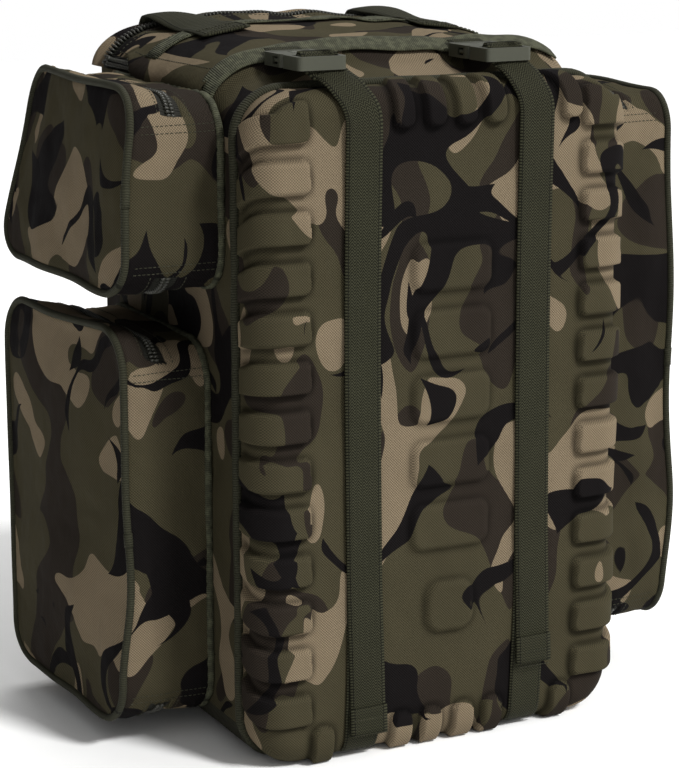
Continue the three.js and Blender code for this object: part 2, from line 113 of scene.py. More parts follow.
# Height of the bag's top along Y: [y, crown, corner depth, squareness of the arch].
TOP_STATIONS = np.array([
    [-127, 571, 40, 8], [-112, 573, 41, 7.4], [-98, 576.5, 42, 6.6], [-84, 583.5, 43, 6],
    [-71, 595, 44, 5.4], [-45, 600, 45, 5], [-15, 603.5, 46, 4.4], [20, 606, 46, 4],
    [100, 607, 46, 4], [142, 606.5, 46, 4], [158, 606, 46, 4], [168, 604, 45, 4],
])

FRONT_EDGE = 22.0      # rounding of the moulded front's rim
FRONT_CORNER = 40.0    # its corners seen from the front
FRONT_RELIEF = 4.5     # height of its raised blocks
BLOCK_PITCH = 41.0
BLOCK_ROWS = 12
BLOCK_LOW_Z = 52.0
BLOCK_HALF = 13.5
TOP_BLOCK_HALF = 17.0

STRAP_WIDTH = 33.0


# ---------------------------------------------------------------- numbers and noise
def smoothstep(low, high, value):
    t = np.clip((value - low) / (high - low), 0, 1)
    return t * t * (3 - 2 * t)


class Ripple:
    """Smooth seeded noise between about -1 and 1, over points in millimetres."""

    def __init__(self, seed, wavelength, waves=16, stretch=(1, 1, 1)):
        random = np.random.default_rng(seed)
        direction = random.normal(size=(waves, 3))
        direction /= np.linalg.norm(direction, axis=1)[:, None]
        pitch = wavelength * random.uniform(0.7, 1.6, waves)
        self.waves = direction * (2 * math.pi / pitch)[:, None] / np.array(stretch)
        self.phase = random.uniform(0, 2 * math.pi, waves)
        self.gain = 1 / math.sqrt(waves)

    def __call__(self, points):
        return np.sin(points @ self.waves.T + self.phase).sum(-1) * self.gain


def rounded_block(across, up, half_across, half_up, radius):
    """Distance inside a rounded rectangle, negative outside."""
    dx = np.abs(across) - (half_across - radius)
    dy = np.abs(up) - (half_up - radius)
    outside = np.hypot(np.maximum(dx, 0), np.maximum(dy, 0))
    inside = np.minimum(np.maximum(dx, dy), 0)
    return radius - outside - inside


# ---------------------------------------------------------------- mesh helpers
def grid_faces(rows, columns, start=0, closed=False):
    """Quads of a grid of points stored row by row; closed joins the last column to the first."""
    last = columns if closed else columns - 1
    i, j = np.meshgrid(np.arange(rows - 1), np.arange(last), indexing="ij")
    i, j = i.ravel(), j.ravel()
    k = (j + 1) % columns
    return start + np.stack(
        [i * columns + j, i * columns + k, (i + 1) * columns + k, (i + 1) * columns + j], 1)


def point_normals(points, faces):
    """Smooth normals of a mesh of quads or triangles."""
    faces = np.asarray(faces)
    a, b, c = points[faces[:, 0]], points[faces[:, 1]], points[faces[:, 2]]
    d = points[faces[:, -1]]
    area = np.cross(c - a, d - b) if faces.shape[1] == 4 else np.cross(b - a, c - a)
    normals = np.zeros_like(points)
    for corner in range(faces.shape[1]):
        np.add.at(normals, faces[:, corner], area)
    return normals / np.maximum(np.linalg.norm(normals, axis=1), 1e-9)[:, None]


def boundary_loop(faces):
    """Edges used by one face only, in the order that face has them."""
    edges = np.concatenate([faces[:, [k, (k + 1) % faces.shape[1]]]
                            for k in range(faces.shape[1])])
    key = np.sort(edges, 1)
    _, first, count = np.unique(key, axis=0, return_index=True, return_counts=True)
    return edges[first[count == 1]]


def thicken(points, faces, thickness, normals=None):
    """Closes an open sheet into a solid by adding an inner copy and the rim between them."""
    if normals is None:
        normals = point_normals(points, faces)
    n = len(points)
    inner = points - normals * thickness
    rim = boundary_loop(faces)
    rim_faces = np.stack([rim[:, 1], rim[:, 0], rim[:, 0] + n, rim[:, 1] + n], 1)
    return (np.concatenate([points, inner]),
            np.concatenate([faces, faces[:, ::-1] + n, rim_faces]),
            np.concatenate([normals, -normals]))


def plane_weave(points, faces):
    """Weave coordinates in millimetres for each face corner, laid flat on the nearest plane."""
    corners = points[faces]
    normal = np.abs(np.cross(corners[:, 2] - corners[:, 0], corners[:, -1] - corners[:, 1]))
    axis = normal.argmax(1)
    pairs = np.array([[1, 2], [0, 2], [0, 1]])[axis]
    take = np.arange(len(faces))[:, None]
    u = corners[take, np.arange(faces.shape[1])[None], pairs[:, :1]]
    v = corners[take, np.arange(faces.shape[1])[None], pairs[:, 1:]]
    return np.stack([u, v], -1).reshape(-1, 2)


def make_piece(name, points, faces, body, material, stands_for=(), weave=None,
               shift=(0, 0, 0), normals=None, levels=0):
    """A mesh object that rides on a body. weave is in millimetres, by point or by corner;
    shift moves the camouflage pattern on this panel."""
    points = np.asarray(points, float)
    faces = [list(map(int, face)) for face in faces]
    mesh = bpy.data.meshes.new(name)
    mesh.from_pydata((points * MM).tolist(), [], faces)
    mesh.update()
    mesh.shade_smooth()
    rest = mesh.attributes.new("rest", "FLOAT_VECTOR", "POINT")
    rest.data.foreach_set("vector", ((points + np.array(shift)) * MM).astype(np.float32).ravel())
    corner_points = np.zeros(len(mesh.loops), np.int32)
    mesh.loops.foreach_get("vertex_index", corner_points)
    if weave is None:
        sizes = np.array([len(face) for face in faces])
        weave = np.zeros((len(mesh.loops), 2))
        start = np.concatenate([[0], np.cumsum(sizes)[:-1]])
        for size in np.unique(sizes):
            chosen = np.nonzero(sizes == size)[0]
            flat = plane_weave(points, np.array([faces[i] for i in chosen]))
            index = (start[chosen][:, None] + np.arange(size)[None]).ravel()
            weave[index] = flat
    elif len(weave) == len(points):
        weave = np.asarray(weave)[corner_points]
    layer = mesh.uv_layers.new(name="weave")
    layer.data.foreach_set("uv", np.asarray(weave, np.float32).ravel())
    if normals is not None:
        mesh.normals_split_custom_set_from_vertices(np.asarray(normals).tolist())
    mesh.materials.append(material.material)
    piece = bpy.data.objects.new(name, mesh)
    bpy.context.scene.collection.objects.link(piece)
    if levels:
        finer = piece.modifiers.new("finer", "SUBSURF")
        finer.levels = levels
        finer.render_levels = levels
    if body:
        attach(piece, body)
    if stands_for:
        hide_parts(*stands_for)
    return piece


def woven_piece(name, shape, body, material, stands_for=(), levels=0):
    """make_piece() for the (points, faces, weave) that ribbon(), tube() and joined() return."""
    points, faces, weave = shape
    return make_piece(name, points, faces, body, material, stands_for, weave, levels=levels)


def side_word(side):
    return "left" if side < 0 else "right"


def facing(points, faces, direction):
    """The faces of a sheet, turned over where they look away from direction."""
    outward = point_normals(points, faces).sum(0) @ np.array(direction, float)
    return faces if outward > 0 else faces[:, ::-1]


def unit(vectors):
    return vectors / np.maximum(np.linalg.norm(vectors, axis=-1), 1e-9)[..., None]


def tangents(path, closed=False):
    if closed:
        return unit(np.roll(path, -1, 0) - np.roll(path, 1, 0))
    return unit(np.gradient(path, axis=0))


def run_length(path):
    """Distance along a polyline to each of its points."""
    return np.concatenate([[0], np.cumsum(np.linalg.norm(np.diff(path, axis=0), axis=1))])


def evenly(path, count):
    """That many even points along a polyline."""
    length = run_length(path)
    at = np.linspace(0, length[-1], count)
    return np.stack([np.interp(at, length, path[:, k]) for k in range(3)], 1)


def resample(path, step, closed=False):
    """Even points along a polyline, no further apart than step."""
    path = np.asarray(path, float)
    if closed:
        path = np.concatenate([path, path[:1]])
    even = evenly(path, max(2, int(math.ceil(run_length(path)[-1] / step)) + 1))
    return even[:-1] if closed else even


def catmull_rom(a, b, c, d, t):
    """The curve from b to c at shares t of the way; a and d are the points beyond them."""
    return 0.5 * (2 * b + (c - a) * t + (2 * a - 5 * b + 4 * c - d) * t ** 2
                  + (3 * b - a - 3 * c + d) * t ** 3)


def smooth_path(points, step):
    """Catmull-Rom curve through given points, resampled evenly."""
    points = np.asarray(points, float)
    knots = np.concatenate([2 * points[:1] - points[1:2], points,
                            2 * points[-1:] - points[-2:-1]])
    t = np.linspace(0, 1, 12, endpoint=False)[:, None]
    pieces = [catmull_rom(*four, t) for four in zip(knots, knots[1:], knots[2:], knots[3:])]
    return resample(np.concatenate([*pieces, points[-1:]]), step)


def square_to(direction, along):
    """The unit direction nearest to the given one that is square to each tangent."""
    direction = np.broadcast_to(np.asarray(direction, float), along.shape)
    return unit(direction - (direction * along).sum(1)[:, None] * along)


def band_faces(rows, ring, closed):
    """Faces round a run of rings of points, the last ring joined to the first if closed."""
    faces = grid_faces(rows, ring, closed=True).tolist()
    if closed:
        last = (rows - 1) * ring
        faces += [[last + j, last + (j + 1) % ring, (j + 1) % ring, j] for j in range(ring)]
    return faces


def ribbon(path, up, width, thickness, columns=9, edge=0.55, closed=False):
    """A strap along path: up is the outward direction of its face. Returns points, faces, weave."""
    path = np.asarray(path, float)
    along = tangents(path, closed)
    up = square_to(up, along)
    across = np.cross(along, up)
    width = np.broadcast_to(width, len(path))
    s = np.linspace(-1, 1, columns)
    height = np.where(np.abs(s) > 0.99, edge, 1.0)
    ring_s = np.concatenate([s, s[::-1]])
    ring_h = np.concatenate([height, -height[::-1]]) * thickness / 2
    points = (path[:, None] + across[:, None] * ring_s[None, :, None] * width[:, None, None] / 2
              + up[:, None] * ring_h[None, :, None])
    weave = np.stack(np.broadcast_arrays(ring_s[None] * width[:, None] / 2,
                                         run_length(path)[:, None]), -1)
    ring = 2 * columns
    faces = band_faces(len(path), ring, closed)
    if not closed:
        last = (len(path) - 1) * ring
        for j in range(columns - 1):
            k = ring - 1 - j
            faces.append([j, k, k - 1, j + 1])
            faces.append([last + j, last + j + 1, last + k - 1, last + k])
    return points.reshape(-1, 3), [face[::-1] for face in faces], weave.reshape(-1, 2)


def tube(path, radius, sides=8, closed=False, flatten=1.0, up=(0, 0, 1)):
    """A cord or piping along path, flattened along up. Returns points, faces, weave."""
    path = np.asarray(path, float)
    along = tangents(path, closed)
    side = unit(np.cross(along, np.broadcast_to(np.asarray(up, float), path.shape)))
    top = np.cross(side, along)
    angle = np.arange(sides) * 2 * math.pi / sides
    radius = np.broadcast_to(radius, len(path))[:, None, None]
    points = (path[:, None] + side[:, None] * np.cos(angle)[None, :, None] * radius
              + top[:, None] * np.sin(angle)[None, :, None] * radius * flatten)
    around = np.abs(np.arange(sides) - sides / 2)[None] * radius[:, :, 0]
    weave = np.stack(np.broadcast_arrays(around, run_length(path)[:, None]), -1)
    faces = band_faces(len(path), sides, closed)
    if not closed:
        last = (len(path) - 1) * sides
        faces += [list(range(sides))[::-1], [last + j for j in range(sides)]]
    return points.reshape(-1, 3), faces, weave.reshape(-1, 2)


def joined(parts):
    """Several (points, faces, weave) as one."""
    points, faces, weave, start = [], [], [], 0
    for part_points, part_faces, part_weave in parts:
        points.append(part_points)
        faces += [[start + int(i) for i in face] for face in part_faces]
        weave.append(part_weave)
        start += len(part_points)
    return np.concatenate(points), faces, np.concatenate(weave)


# ---------------------------------------------------------------- materials
def tone(red, green, blue):
    """An sRGB colour, 0 to 255, as linear RGBA."""
    linear = [(c / 255 / 12.92) if c <= 10 else ((c / 255 + 0.055) / 1.055) ** 2.4
              for c in (red, green, blue)]
    return (*linear, 1.0)


class Nodes:
    """Short ways to write the nodes of one tree."""

    def __init__(self, tree):
        self.tree = tree

    def node(self, kind, settings=None, **inputs):
        node = self.tree.nodes.new("ShaderNode" + kind)
        for name, value in (settings or {}).items():
            setattr(node, name, value)
        for name, value in inputs.items():
            self.feed(node.inputs[name.replace("_", " ")], value)
        return node

    def feed(self, socket, value):
        if isinstance(value, bpy.types.NodeSocket):
            self.tree.links.new(value, socket)
        else:
            socket.default_value = value

    def rest(self):
        return self.node("Attribute", {"attribute_name": "rest"}).outputs["Vector"]

    def weave(self):
        node = self.node("UVMap", {"uv_map": "weave"})
        split = self.node("SeparateXYZ", Vector=node.outputs["UV"])
        return split.outputs["X"], split.outputs["Y"]

    def math(self, operation, first, second=0.0, third=0.0):
        node = self.node("Math", {"operation": operation})
        for socket, value in zip(node.inputs, (first, second, third)):
            self.feed(socket, value)
        return node.outputs["Value"]

    def vector(self, operation, first, second=(0, 0, 0)):
        node = self.node("VectorMath", {"operation": operation})
        self.feed(node.inputs[0], first)
        if operation == "SCALE":
            self.feed(node.inputs["Scale"], second)
        else:
            self.feed(node.inputs[1], second)
        return node.outputs["Vector"]

    def noise(self, place, scale, detail=0.0, output="Fac"):
        node = self.node("TexNoise", Vector=place, Scale=scale, Detail=detail)
        return node.outputs[output]

    def step(self, value, low, high, to_low=0.0, to_high=1.0):
        node = self.node("MapRange", {"interpolation_type": "SMOOTHSTEP"}, Value=value,
                         From_Min=low, From_Max=high, To_Min=to_low, To_Max=to_high)
        return node.outputs["Result"]

    def mix(self, factor, first, second):
        node = self.node("Mix", {"data_type": "RGBA"})
        self.feed(node.inputs["Factor"], factor)
        self.feed(node.inputs[6], first)
        self.feed(node.inputs[7], second)
        return node.outputs[2]

    def wave(self, value, pitch, phase=0.0):
        """0 to 1 and back, once every pitch millimetres."""
        turned = self.math("MULTIPLY_ADD", value, 2 * math.pi / pitch, phase)
        return self.math("MULTIPLY_ADD", self.math("SINE", turned), 0.5, 0.5)

    def shade(self, colour, amount):
        """Multiplies a colour by a number."""
        if isinstance(colour, tuple) and not isinstance(amount, bpy.types.NodeSocket):
            return (*(channel * amount for channel in colour[:3]), 1.0)
        return self.vector("SCALE", colour[:3] if isinstance(colour, tuple) else colour, amount)

    def vary(self, light, field, gain, base):
        """Multiplies light by base + gain * field."""
        return self.math("MULTIPLY", light, self.math("MULTIPLY_ADD", field, gain, base))


class Finish(Nodes):
    """A node material. The slot name is kept on this object but not set on the material."""

    def __init__(self, name, slot, roughness=0.8, metallic=0.0, specular=0.3):
        self.slot = slot
        self.material = bpy.data.materials.new(name)
        self.material.use_nodes = True
        super().__init__(self.material.node_tree)
        self.shader = self.tree.nodes["Principled BSDF"]
        self.shader.inputs["Metallic"].default_value = metallic
        self.shader.inputs["Roughness"].default_value = roughness
        self.shader.inputs["Specular IOR Level"].default_value = specular

    def finish(self, colour, height, depth, roughness=None):
        """Sets colour, relief of depth millimetres, and optionally a roughness socket."""
        self.feed(self.shader.inputs["Base Color"], colour)
        bump = self.node("Bump", Height=height, Strength=1.0, Distance=depth * MM)
        self.feed(self.shader.inputs["Normal"], bump.outputs["Normal"])
        if roughness is not None:
            self.feed(self.shader.inputs["Roughness"], roughness)
        return self


OLIVE = tone(58, 54, 40)
BROWN = tone(39, 34, 29)
INK = tone(19, 17, 17)
TAN = tone(108, 96, 78)
PRINT_EDGE = 0.0012    # softness of the print's edges, as a step of its noise
TWILL_PITCH = 2.4


def camo_colour(finish, place, squeeze):
    """Woodland camouflage: olive ground, brown clouds, tan streaks and branching black."""
    bent = place
    for scale, reach in ((6.5, 0.11), (19.0, 0.034)):
        push = finish.noise(place, scale, 0.0, "Color")
        push = finish.vector("SUBTRACT", push, (0.5, 0.5, 0.5))
        bent = finish.vector("ADD", bent, finish.vector("SCALE", push, reach))
    tall = finish.vector("MULTIPLY", bent, squeeze)
    colour = OLIVE
    for offset, scale, cut, paint in (((3.1, 1.7, 0.4), 15.0, 0.548, BROWN),
                                      ((7.3, 4.9, 2.6), 16.0, 0.592, TAN)):
        blob = finish.noise(finish.vector("ADD", tall, offset), scale)
        colour = finish.mix(finish.step(blob, cut - PRINT_EDGE, cut + PRINT_EDGE), colour, paint)
    black = camo_branches(finish, bent, (1.9, 8.8, 5.2), 9.5, 0.034)
    twigs = camo_branches(finish, bent, (6.4, 0.7, 3.3), 13.0, 0.026)
    return finish.mix(finish.math("MAXIMUM", black, twigs), colour, INK)


def camo(squeeze):
    """The camouflage as a colour for fabric(), its blobs squeezed by that much along x, y, z."""
    return lambda finish, place: camo_colour(finish, place, squeeze)


def camo_branches(finish, place, offset, scale, width):
    """Winding strokes of varying width along the contour lines of a noise field."""
    place = finish.vector("ADD", place, offset)
    line = finish.math("SUBTRACT", finish.noise(place, scale), 0.5)
    where = finish.noise(finish.vector("ADD", place, offset), scale * 0.8)
    room = finish.step(where, 0.43, 0.68, -0.03, width * 2)
    inside = finish.math("SUBTRACT", room, finish.math("ABSOLUTE", line))
    return finish.step(inside, -PRINT_EDGE, PRINT_EDGE)


def fabric(name, slot, colour_of, relief=0.28, crumple=0.5, groove_shade_strength=0.0):
    """Twill cloth: fine diagonal ribs, thread variation and small creases. The last argument is how
    much painted shade darkens the colour in the moulding's grooves, read from a point attribute."""
    cloth = Finish(name, slot, roughness=0.72, specular=0.02)
    place = cloth.rest()
    u, v = cloth.weave()
    diagonal = cloth.wave(cloth.math("ADD", u, v), TWILL_PITCH)
    thread = cloth.wave(cloth.math("SUBTRACT", u, v), TWILL_PITCH)
    twill = cloth.math("MULTIPLY_ADD", thread, 0.45, cloth.math("MULTIPLY", diagonal, 0.55))
    grain = cloth.noise(place, 900.0, 2.0)
    cloud = cloth.noise(place, 16.0, 3.0)
    light = cloth.math("ADD", twill, 0.45)
    light = cloth.vary(light, grain, 0.24, 0.90)
    light = cloth.vary(light, cloud, 0.30, 0.86)
    # Painted shade: the colour is darkened in the moulding's grooves, by the point attribute that
    # build_front_panel() stores.
    if groove_shade_strength:
        dip = cloth.node("Attribute", {"attribute_name": "dip"}).outputs["Fac"]
        light = cloth.vary(light, dip, -groove_shade_strength, 1.04)
    colour = cloth.shade(colour_of(cloth, place), light)
    crease = cloth.noise(cloth.vector("MULTIPLY", place, (1.0, 1.0, 0.6)), 55.0, 2.0)
    height = cloth.math("MULTIPLY_ADD", crease, crumple * 4, cloth.math("MULTIPLY", twill, relief))
    return cloth.finish(colour, height, 1.0)


def plain(colour):
    """One colour for fabric(), a little uneven."""
    return lambda finish, place: finish.mix(
        finish.noise(place, 30.0, 3.0), finish.shade(colour, 0.8), finish.shade(colour, 1.2))


def webbing_finish(name, colour, width):
    """Woven webbing: barred selvedges and narrow slanted columns between them."""
    band = Finish(name, "webbing", roughness=0.72, specular=0.08)
    place = band.rest()
    u, v = band.weave()
    pitch = 2.6
    column = band.math("PINGPONG", u, pitch)
    slant = band.wave(band.math("MULTIPLY_ADD", column, 1.3, v), pitch)
    bars = band.wave(v, pitch)
    edge = band.step(band.math("ABSOLUTE", u), width * 0.41, width * 0.42)
    groove = band.step(band.math("ABSOLUTE", band.math(
        "SUBTRACT", band.math("ABSOLUTE", u), width * 0.415)), 0.0, 0.7)
    weave = band.mix(edge, slant, bars)
    weave = band.math("MULTIPLY", band.node("RGBToBW", Color=weave).outputs["Val"], groove)
    cloud = band.noise(place, 22.0, 3.0)
    grain = band.noise(place, 1200.0, 2.0)
    light = band.math("MULTIPLY_ADD", weave, 1.5, 0.24)
    light = band.vary(light, cloud, 0.36, 0.82)
    light = band.vary(light, grain, 0.3, 0.86)
    return band.finish(band.shade(colour, light), weave, 0.6)


def cord_finish(name, colour, pitch=2.1, slot="webbing", mottle=0.0):
    """Grosgrain binding: ribs across the run of the tape."""
    tape = Finish(name, slot, roughness=0.78, specular=0.14)
    place = tape.rest()
    u, v = tape.weave()
    ribs = tape.wave(tape.math("MULTIPLY_ADD", u, 0.12, v), pitch)
    cloud = tape.noise(place, 40.0, 3.0)
    patch = tape.step(tape.noise(place, 150.0, 2.0), 0.42, 0.6)
    light = tape.math("MULTIPLY_ADD", ribs, 0.42, 0.74)
    light = tape.vary(light, cloud, 0.4, 0.8)
    light = tape.vary(light, patch, mottle, 1 - mottle / 2)
    return tape.finish(tape.shade(colour, light), ribs, 0.5)


def plastic_finish(name, colour, slot, roughness=0.46):
    """Moulded acetal: satin, with faint sink marks, fine grain and slightly worn edges."""
    hard = Finish(name, slot, roughness=roughness, specular=0.3)
    place = hard.node("TexCoord").outputs["Object"]
    grain = hard.noise(place, 2600.0, 2.0)
    sink = hard.noise(place, 90.0, 1.0)
    wear = hard.node("NewGeometry").outputs["Pointiness"]
    pale = hard.step(wear, 0.52, 0.62, 0.0, 0.5)
    base = hard.mix(hard.noise(place, 60.0, 3.0), hard.shade(colour, 0.88), hard.shade(colour, 1.1))
    base = hard.mix(pale, base, hard.shade(colour, 1.9))
    height = hard.math("MULTIPLY_ADD", sink, 0.6, hard.math("MULTIPLY", grain, 0.05))
    rough = hard.math("MULTIPLY_ADD", grain, 0.2, roughness - 0.1)
    return hard.finish(base, height, 0.4, rough)


def metal_finish(name, colour):
    """Painted zinc: dark, worn to bare metal on the high edges."""
    metal = Finish(name, "zip_metal", roughness=0.4, metallic=0.85, specular=0.5)
    place = metal.node("TexCoord").outputs["Object"]
    speck = metal.noise(place, 700.0, 3.0)
    wear = metal.step(metal.node("NewGeometry").outputs["Pointiness"], 0.53, 0.6)
    base = metal.mix(metal.step(speck, 0.3, 0.7), metal.shade(colour, 0.8),
                     metal.shade(colour, 1.25))
    base = metal.mix(wear, base, tone(120, 116, 104))
    rough = metal.math("MULTIPLY_ADD", speck, 0.3, 0.28)
    return metal.finish(base, speck, 0.05, rough)


def mesh_finish(name, colour):
    """Spacer mesh: a net of round holes in offset rows over dark foam."""
    net = Finish(name, "air_mesh", roughness=0.85, specular=0.12)
    place = net.rest()
    u, v = net.weave()
    first, second = (net.math("MULTIPLY", net.wave(u, 3.0, phase), net.wave(v, 3.0, phase))
                     for phase in (0.0, math.pi))
    hole = net.step(net.math("MAXIMUM", first, second), 0.45, 0.75)
    cloud = net.noise(place, 30.0, 3.0)
    base = net.mix(hole, net.shade(colour, 1.25), net.shade(colour, 0.3))
    base = net.shade(base, net.math("MULTIPLY_ADD", cloud, 0.4, 0.8))
    return net.finish(base, net.math("SUBTRACT", 1.0, hole), 0.7)


STRAP_OLIVE = tone(43, 43, 31)
PIPING_OLIVE = tone(46, 46, 34)
CAMO = fabric("camo_twill", "camo_fabric", camo((1.0, 0.95, 0.9)))
# The moulded front's colour gets painted shade in its grooves.
MOULDED = fabric("moulded_camo", "moulded_camo", camo((1.3, 1.3, 0.62)), relief=0.3, crumple=0.12,
                 groove_shade_strength=0.55)
BACK_CLOTH = fabric("back_cloth", "back_fabric", plain(tone(44, 43, 36)), relief=0.35)
LINING = fabric("lining", "camo_fabric", plain(tone(37, 37, 32)), relief=0.3)
WEBBING = webbing_finish("strap_webbing", STRAP_OLIVE, STRAP_WIDTH)
WIDE_WEBBING = webbing_finish("wide_webbing", STRAP_OLIVE, 44.0)
NARROW_WEBBING = webbing_finish("narrow_webbing", tone(52, 52, 42), 25.0)
PIPING = cord_finish("piping", PIPING_OLIVE)
BINDING = cord_finish("mottled_binding", tone(66, 67, 52), 1.8, mottle=0.5)
THREAD = cord_finish("thread", tone(56, 56, 44), 1.2)
ZIP_TAPE = cord_finish("zip_tape", tone(28, 28, 23), 2.2, "zip_tape")
TEETH = plastic_finish("zip_teeth", tone(42, 42, 37), "zip_tape", 0.36)
PLASTIC = plastic_finish("buckle_plastic", tone(54, 55, 45), "buckle_plastic")
METAL = metal_finish("zip_metal", tone(52, 50, 44))
AIR_MESH = mesh_finish("spacer_mesh", tone(42, 42, 38))
BOARD = plastic_finish("stiff_board", tone(28, 28, 28), "board", 0.6)


# ---------------------------------------------------------------- box with a rounded rim
class RimBox:
    """A sheet over the face and gusset of a rounded box, laid out flat as a grid.

    a and b are the flat coordinates from the centre, q the distance in from the open edge.
    across, up and out are the place of each point: out is 0 at the open edge. rings are the
    distances q at which the grid has lines; inside the last one they are spacing apart."""

    def __init__(self, half_across, half_up, corner, edge, depth, spacing, rings=(0,), multiple=2):
        straight = depth - edge
        arc = edge * math.pi / 2
        flat_a = half_across - edge + arc + straight
        flat_b = half_up - edge + arc + straight
        self.lines_a = self.lines(flat_a, rings, spacing, multiple)
        self.lines_b = self.lines(flat_b, rings, spacing, multiple)
        self.columns, self.rows = len(self.lines_a), len(self.lines_b)
        a, b = np.meshgrid(self.lines_a, self.lines_b)
        self.a, self.b = a.ravel(), b.ravel()
        self.q = np.minimum(flat_a - np.abs(self.a), flat_b - np.abs(self.b))
        self.along = np.where(flat_a - np.abs(self.a) < flat_b - np.abs(self.b), self.b, self.a)
        self.ridge = straight + arc / 2
        angle = np.clip((self.q - straight) / edge, 0, math.pi / 2)
        inset = edge * (1 - np.cos(angle)) + np.maximum(self.q - straight - arc, 0)
        self.out = np.minimum(self.q, straight) + edge * np.sin(angle)
        w, h = half_across - inset, half_up - inset
        across = self.a * w / np.maximum(flat_a - self.q, 1e-6)
        up = self.b * h / np.maximum(flat_b - self.q, 1e-6)
        self.across, self.up = self.round_corners(across, up, w, h, corner, inset)
        self.faces = grid_faces(self.rows, self.columns)

    @staticmethod
    def lines(flat, rings, spacing, multiple):
        inner = flat - rings[-1]
        count = multiple * max(1, int(round(2 * inner / spacing / multiple)))
        middle = np.linspace(-inner, inner, count + 1)[1:-1]
        rings = np.array(rings, float)
        return np.concatenate([rings - flat, middle, (flat - rings)[::-1]])

    def ring(self, distance):
        """Indices of the closed loop of points at that distance in from the open edge."""
        k = int(np.argmin(np.abs(self.lines_a - self.lines_a[0] - distance)))
        grid = np.arange(self.rows * self.columns).reshape(self.rows, self.columns)
        last_row, last_column = self.rows - 1 - k, self.columns - 1 - k
        return np.concatenate([grid[k, k:last_column], grid[k:last_row, last_column],
                               grid[last_row, last_column:k:-1], grid[last_row:k:-1, k]])

    @staticmethod
    def round_corners(across, up, w, h, corner, inset):
        """Bends the last stretch of each ring's sides into the corner's arc."""
        radius = np.maximum(corner - inset, 1e-6)
        on_side = (w - np.abs(across)) <= (h - np.abs(up)) + 1e-9
        past = np.where(on_side, np.abs(up) - (h - radius), np.abs(across) - (w - radius))
        turn = np.clip(past / radius, 0, 1) * math.pi / 4
        bent = past > 0
        side_across = w - radius + radius * np.cos(turn)
        side_up = h - radius + radius * np.sin(turn)
        top_across = w - radius + radius * np.sin(turn)
        top_up = h - radius + radius * np.cos(turn)
        new_across = np.where(on_side, side_across, top_across) * np.sign(across)
        new_up = np.where(on_side, side_up, top_up) * np.sign(up)
        return np.where(bent, new_across, across), np.where(bent, new_up, up)


def rounded_loop(half_across, half_up, corner, step):
    """Points round a rounded rectangle, anticlockwise from the right side."""
    points = []
    for centre_x, centre_y, start in [(1, 1, 0), (-1, 1, 90), (-1, -1, 180), (1, -1, 270)]:
        for angle in np.radians(np.linspace(start, start + 90, 10)):
            points.append([centre_x * (half_across - corner) + corner * math.cos(angle),
                           centre_y * (half_up - corner) + corner * math.sin(angle), 0])
    return resample(points, step, closed=True)


# ---------------------------------------------------------------- moulded front panel
PANEL_MID_Z = 285.5
PANEL_HALF_HEIGHT = 284.5
EVA_PATTERN = (-220, 110, 200)
END_RIBS_TOP = (-43, -14, 15, 43, 117)
END_RIBS_BASE = (-118, -42, -13, 18, 47, 118)


def front_relief(a, z):
    """Height of the moulded pattern: side blocks round the rim, end ribs and centre pads."""
    def raised(distance, edge=2.8):
        return smoothstep(-edge * 0.35, edge * 0.65, distance)

    height = np.zeros_like(a)
    for row in range(BLOCK_ROWS + 1):
        half = BLOCK_HALF if row < BLOCK_ROWS else TOP_BLOCK_HALF
        middle = BLOCK_LOW_Z + BLOCK_PITCH * row + (half - BLOCK_HALF)
        for side in SIDES:
            distance = rounded_block(a - side * 166, z - middle, 37, half, 6)
            crisp = np.where(z < middle, 2.2, 5.0)
            height = np.maximum(height, raised(distance, crisp))
    for ribs, level, half in ((END_RIBS_TOP, PANEL_MID_Z + 326, 9.5), (END_RIBS_BASE, -40, 10)):
        for x in ribs:
            height = np.maximum(height, raised(rounded_block(a - x, z - level, half, 74, 8)))
    pads = np.zeros_like(a)
    for i in range(5):
        pads = np.maximum(pads, raised(rounded_block(a - 3, z - 196 - 56 * i, 37, 20, 11), 6))
    pads = np.maximum(pads, raised(rounded_block(a - 3, z - 124, 23, 23, 15), 6))
    return 1.4 * FRONT_RELIEF * height + 4.2 * pads


def blurred(grid, reach):
    """Each value replaced by the mean of its neighbours up to reach lines away."""
    for axis in (0, 1):
        grid = sum(np.roll(grid, step, axis) for step in range(-reach, reach + 1))
        grid = grid / (2 * reach + 1)
    return grid


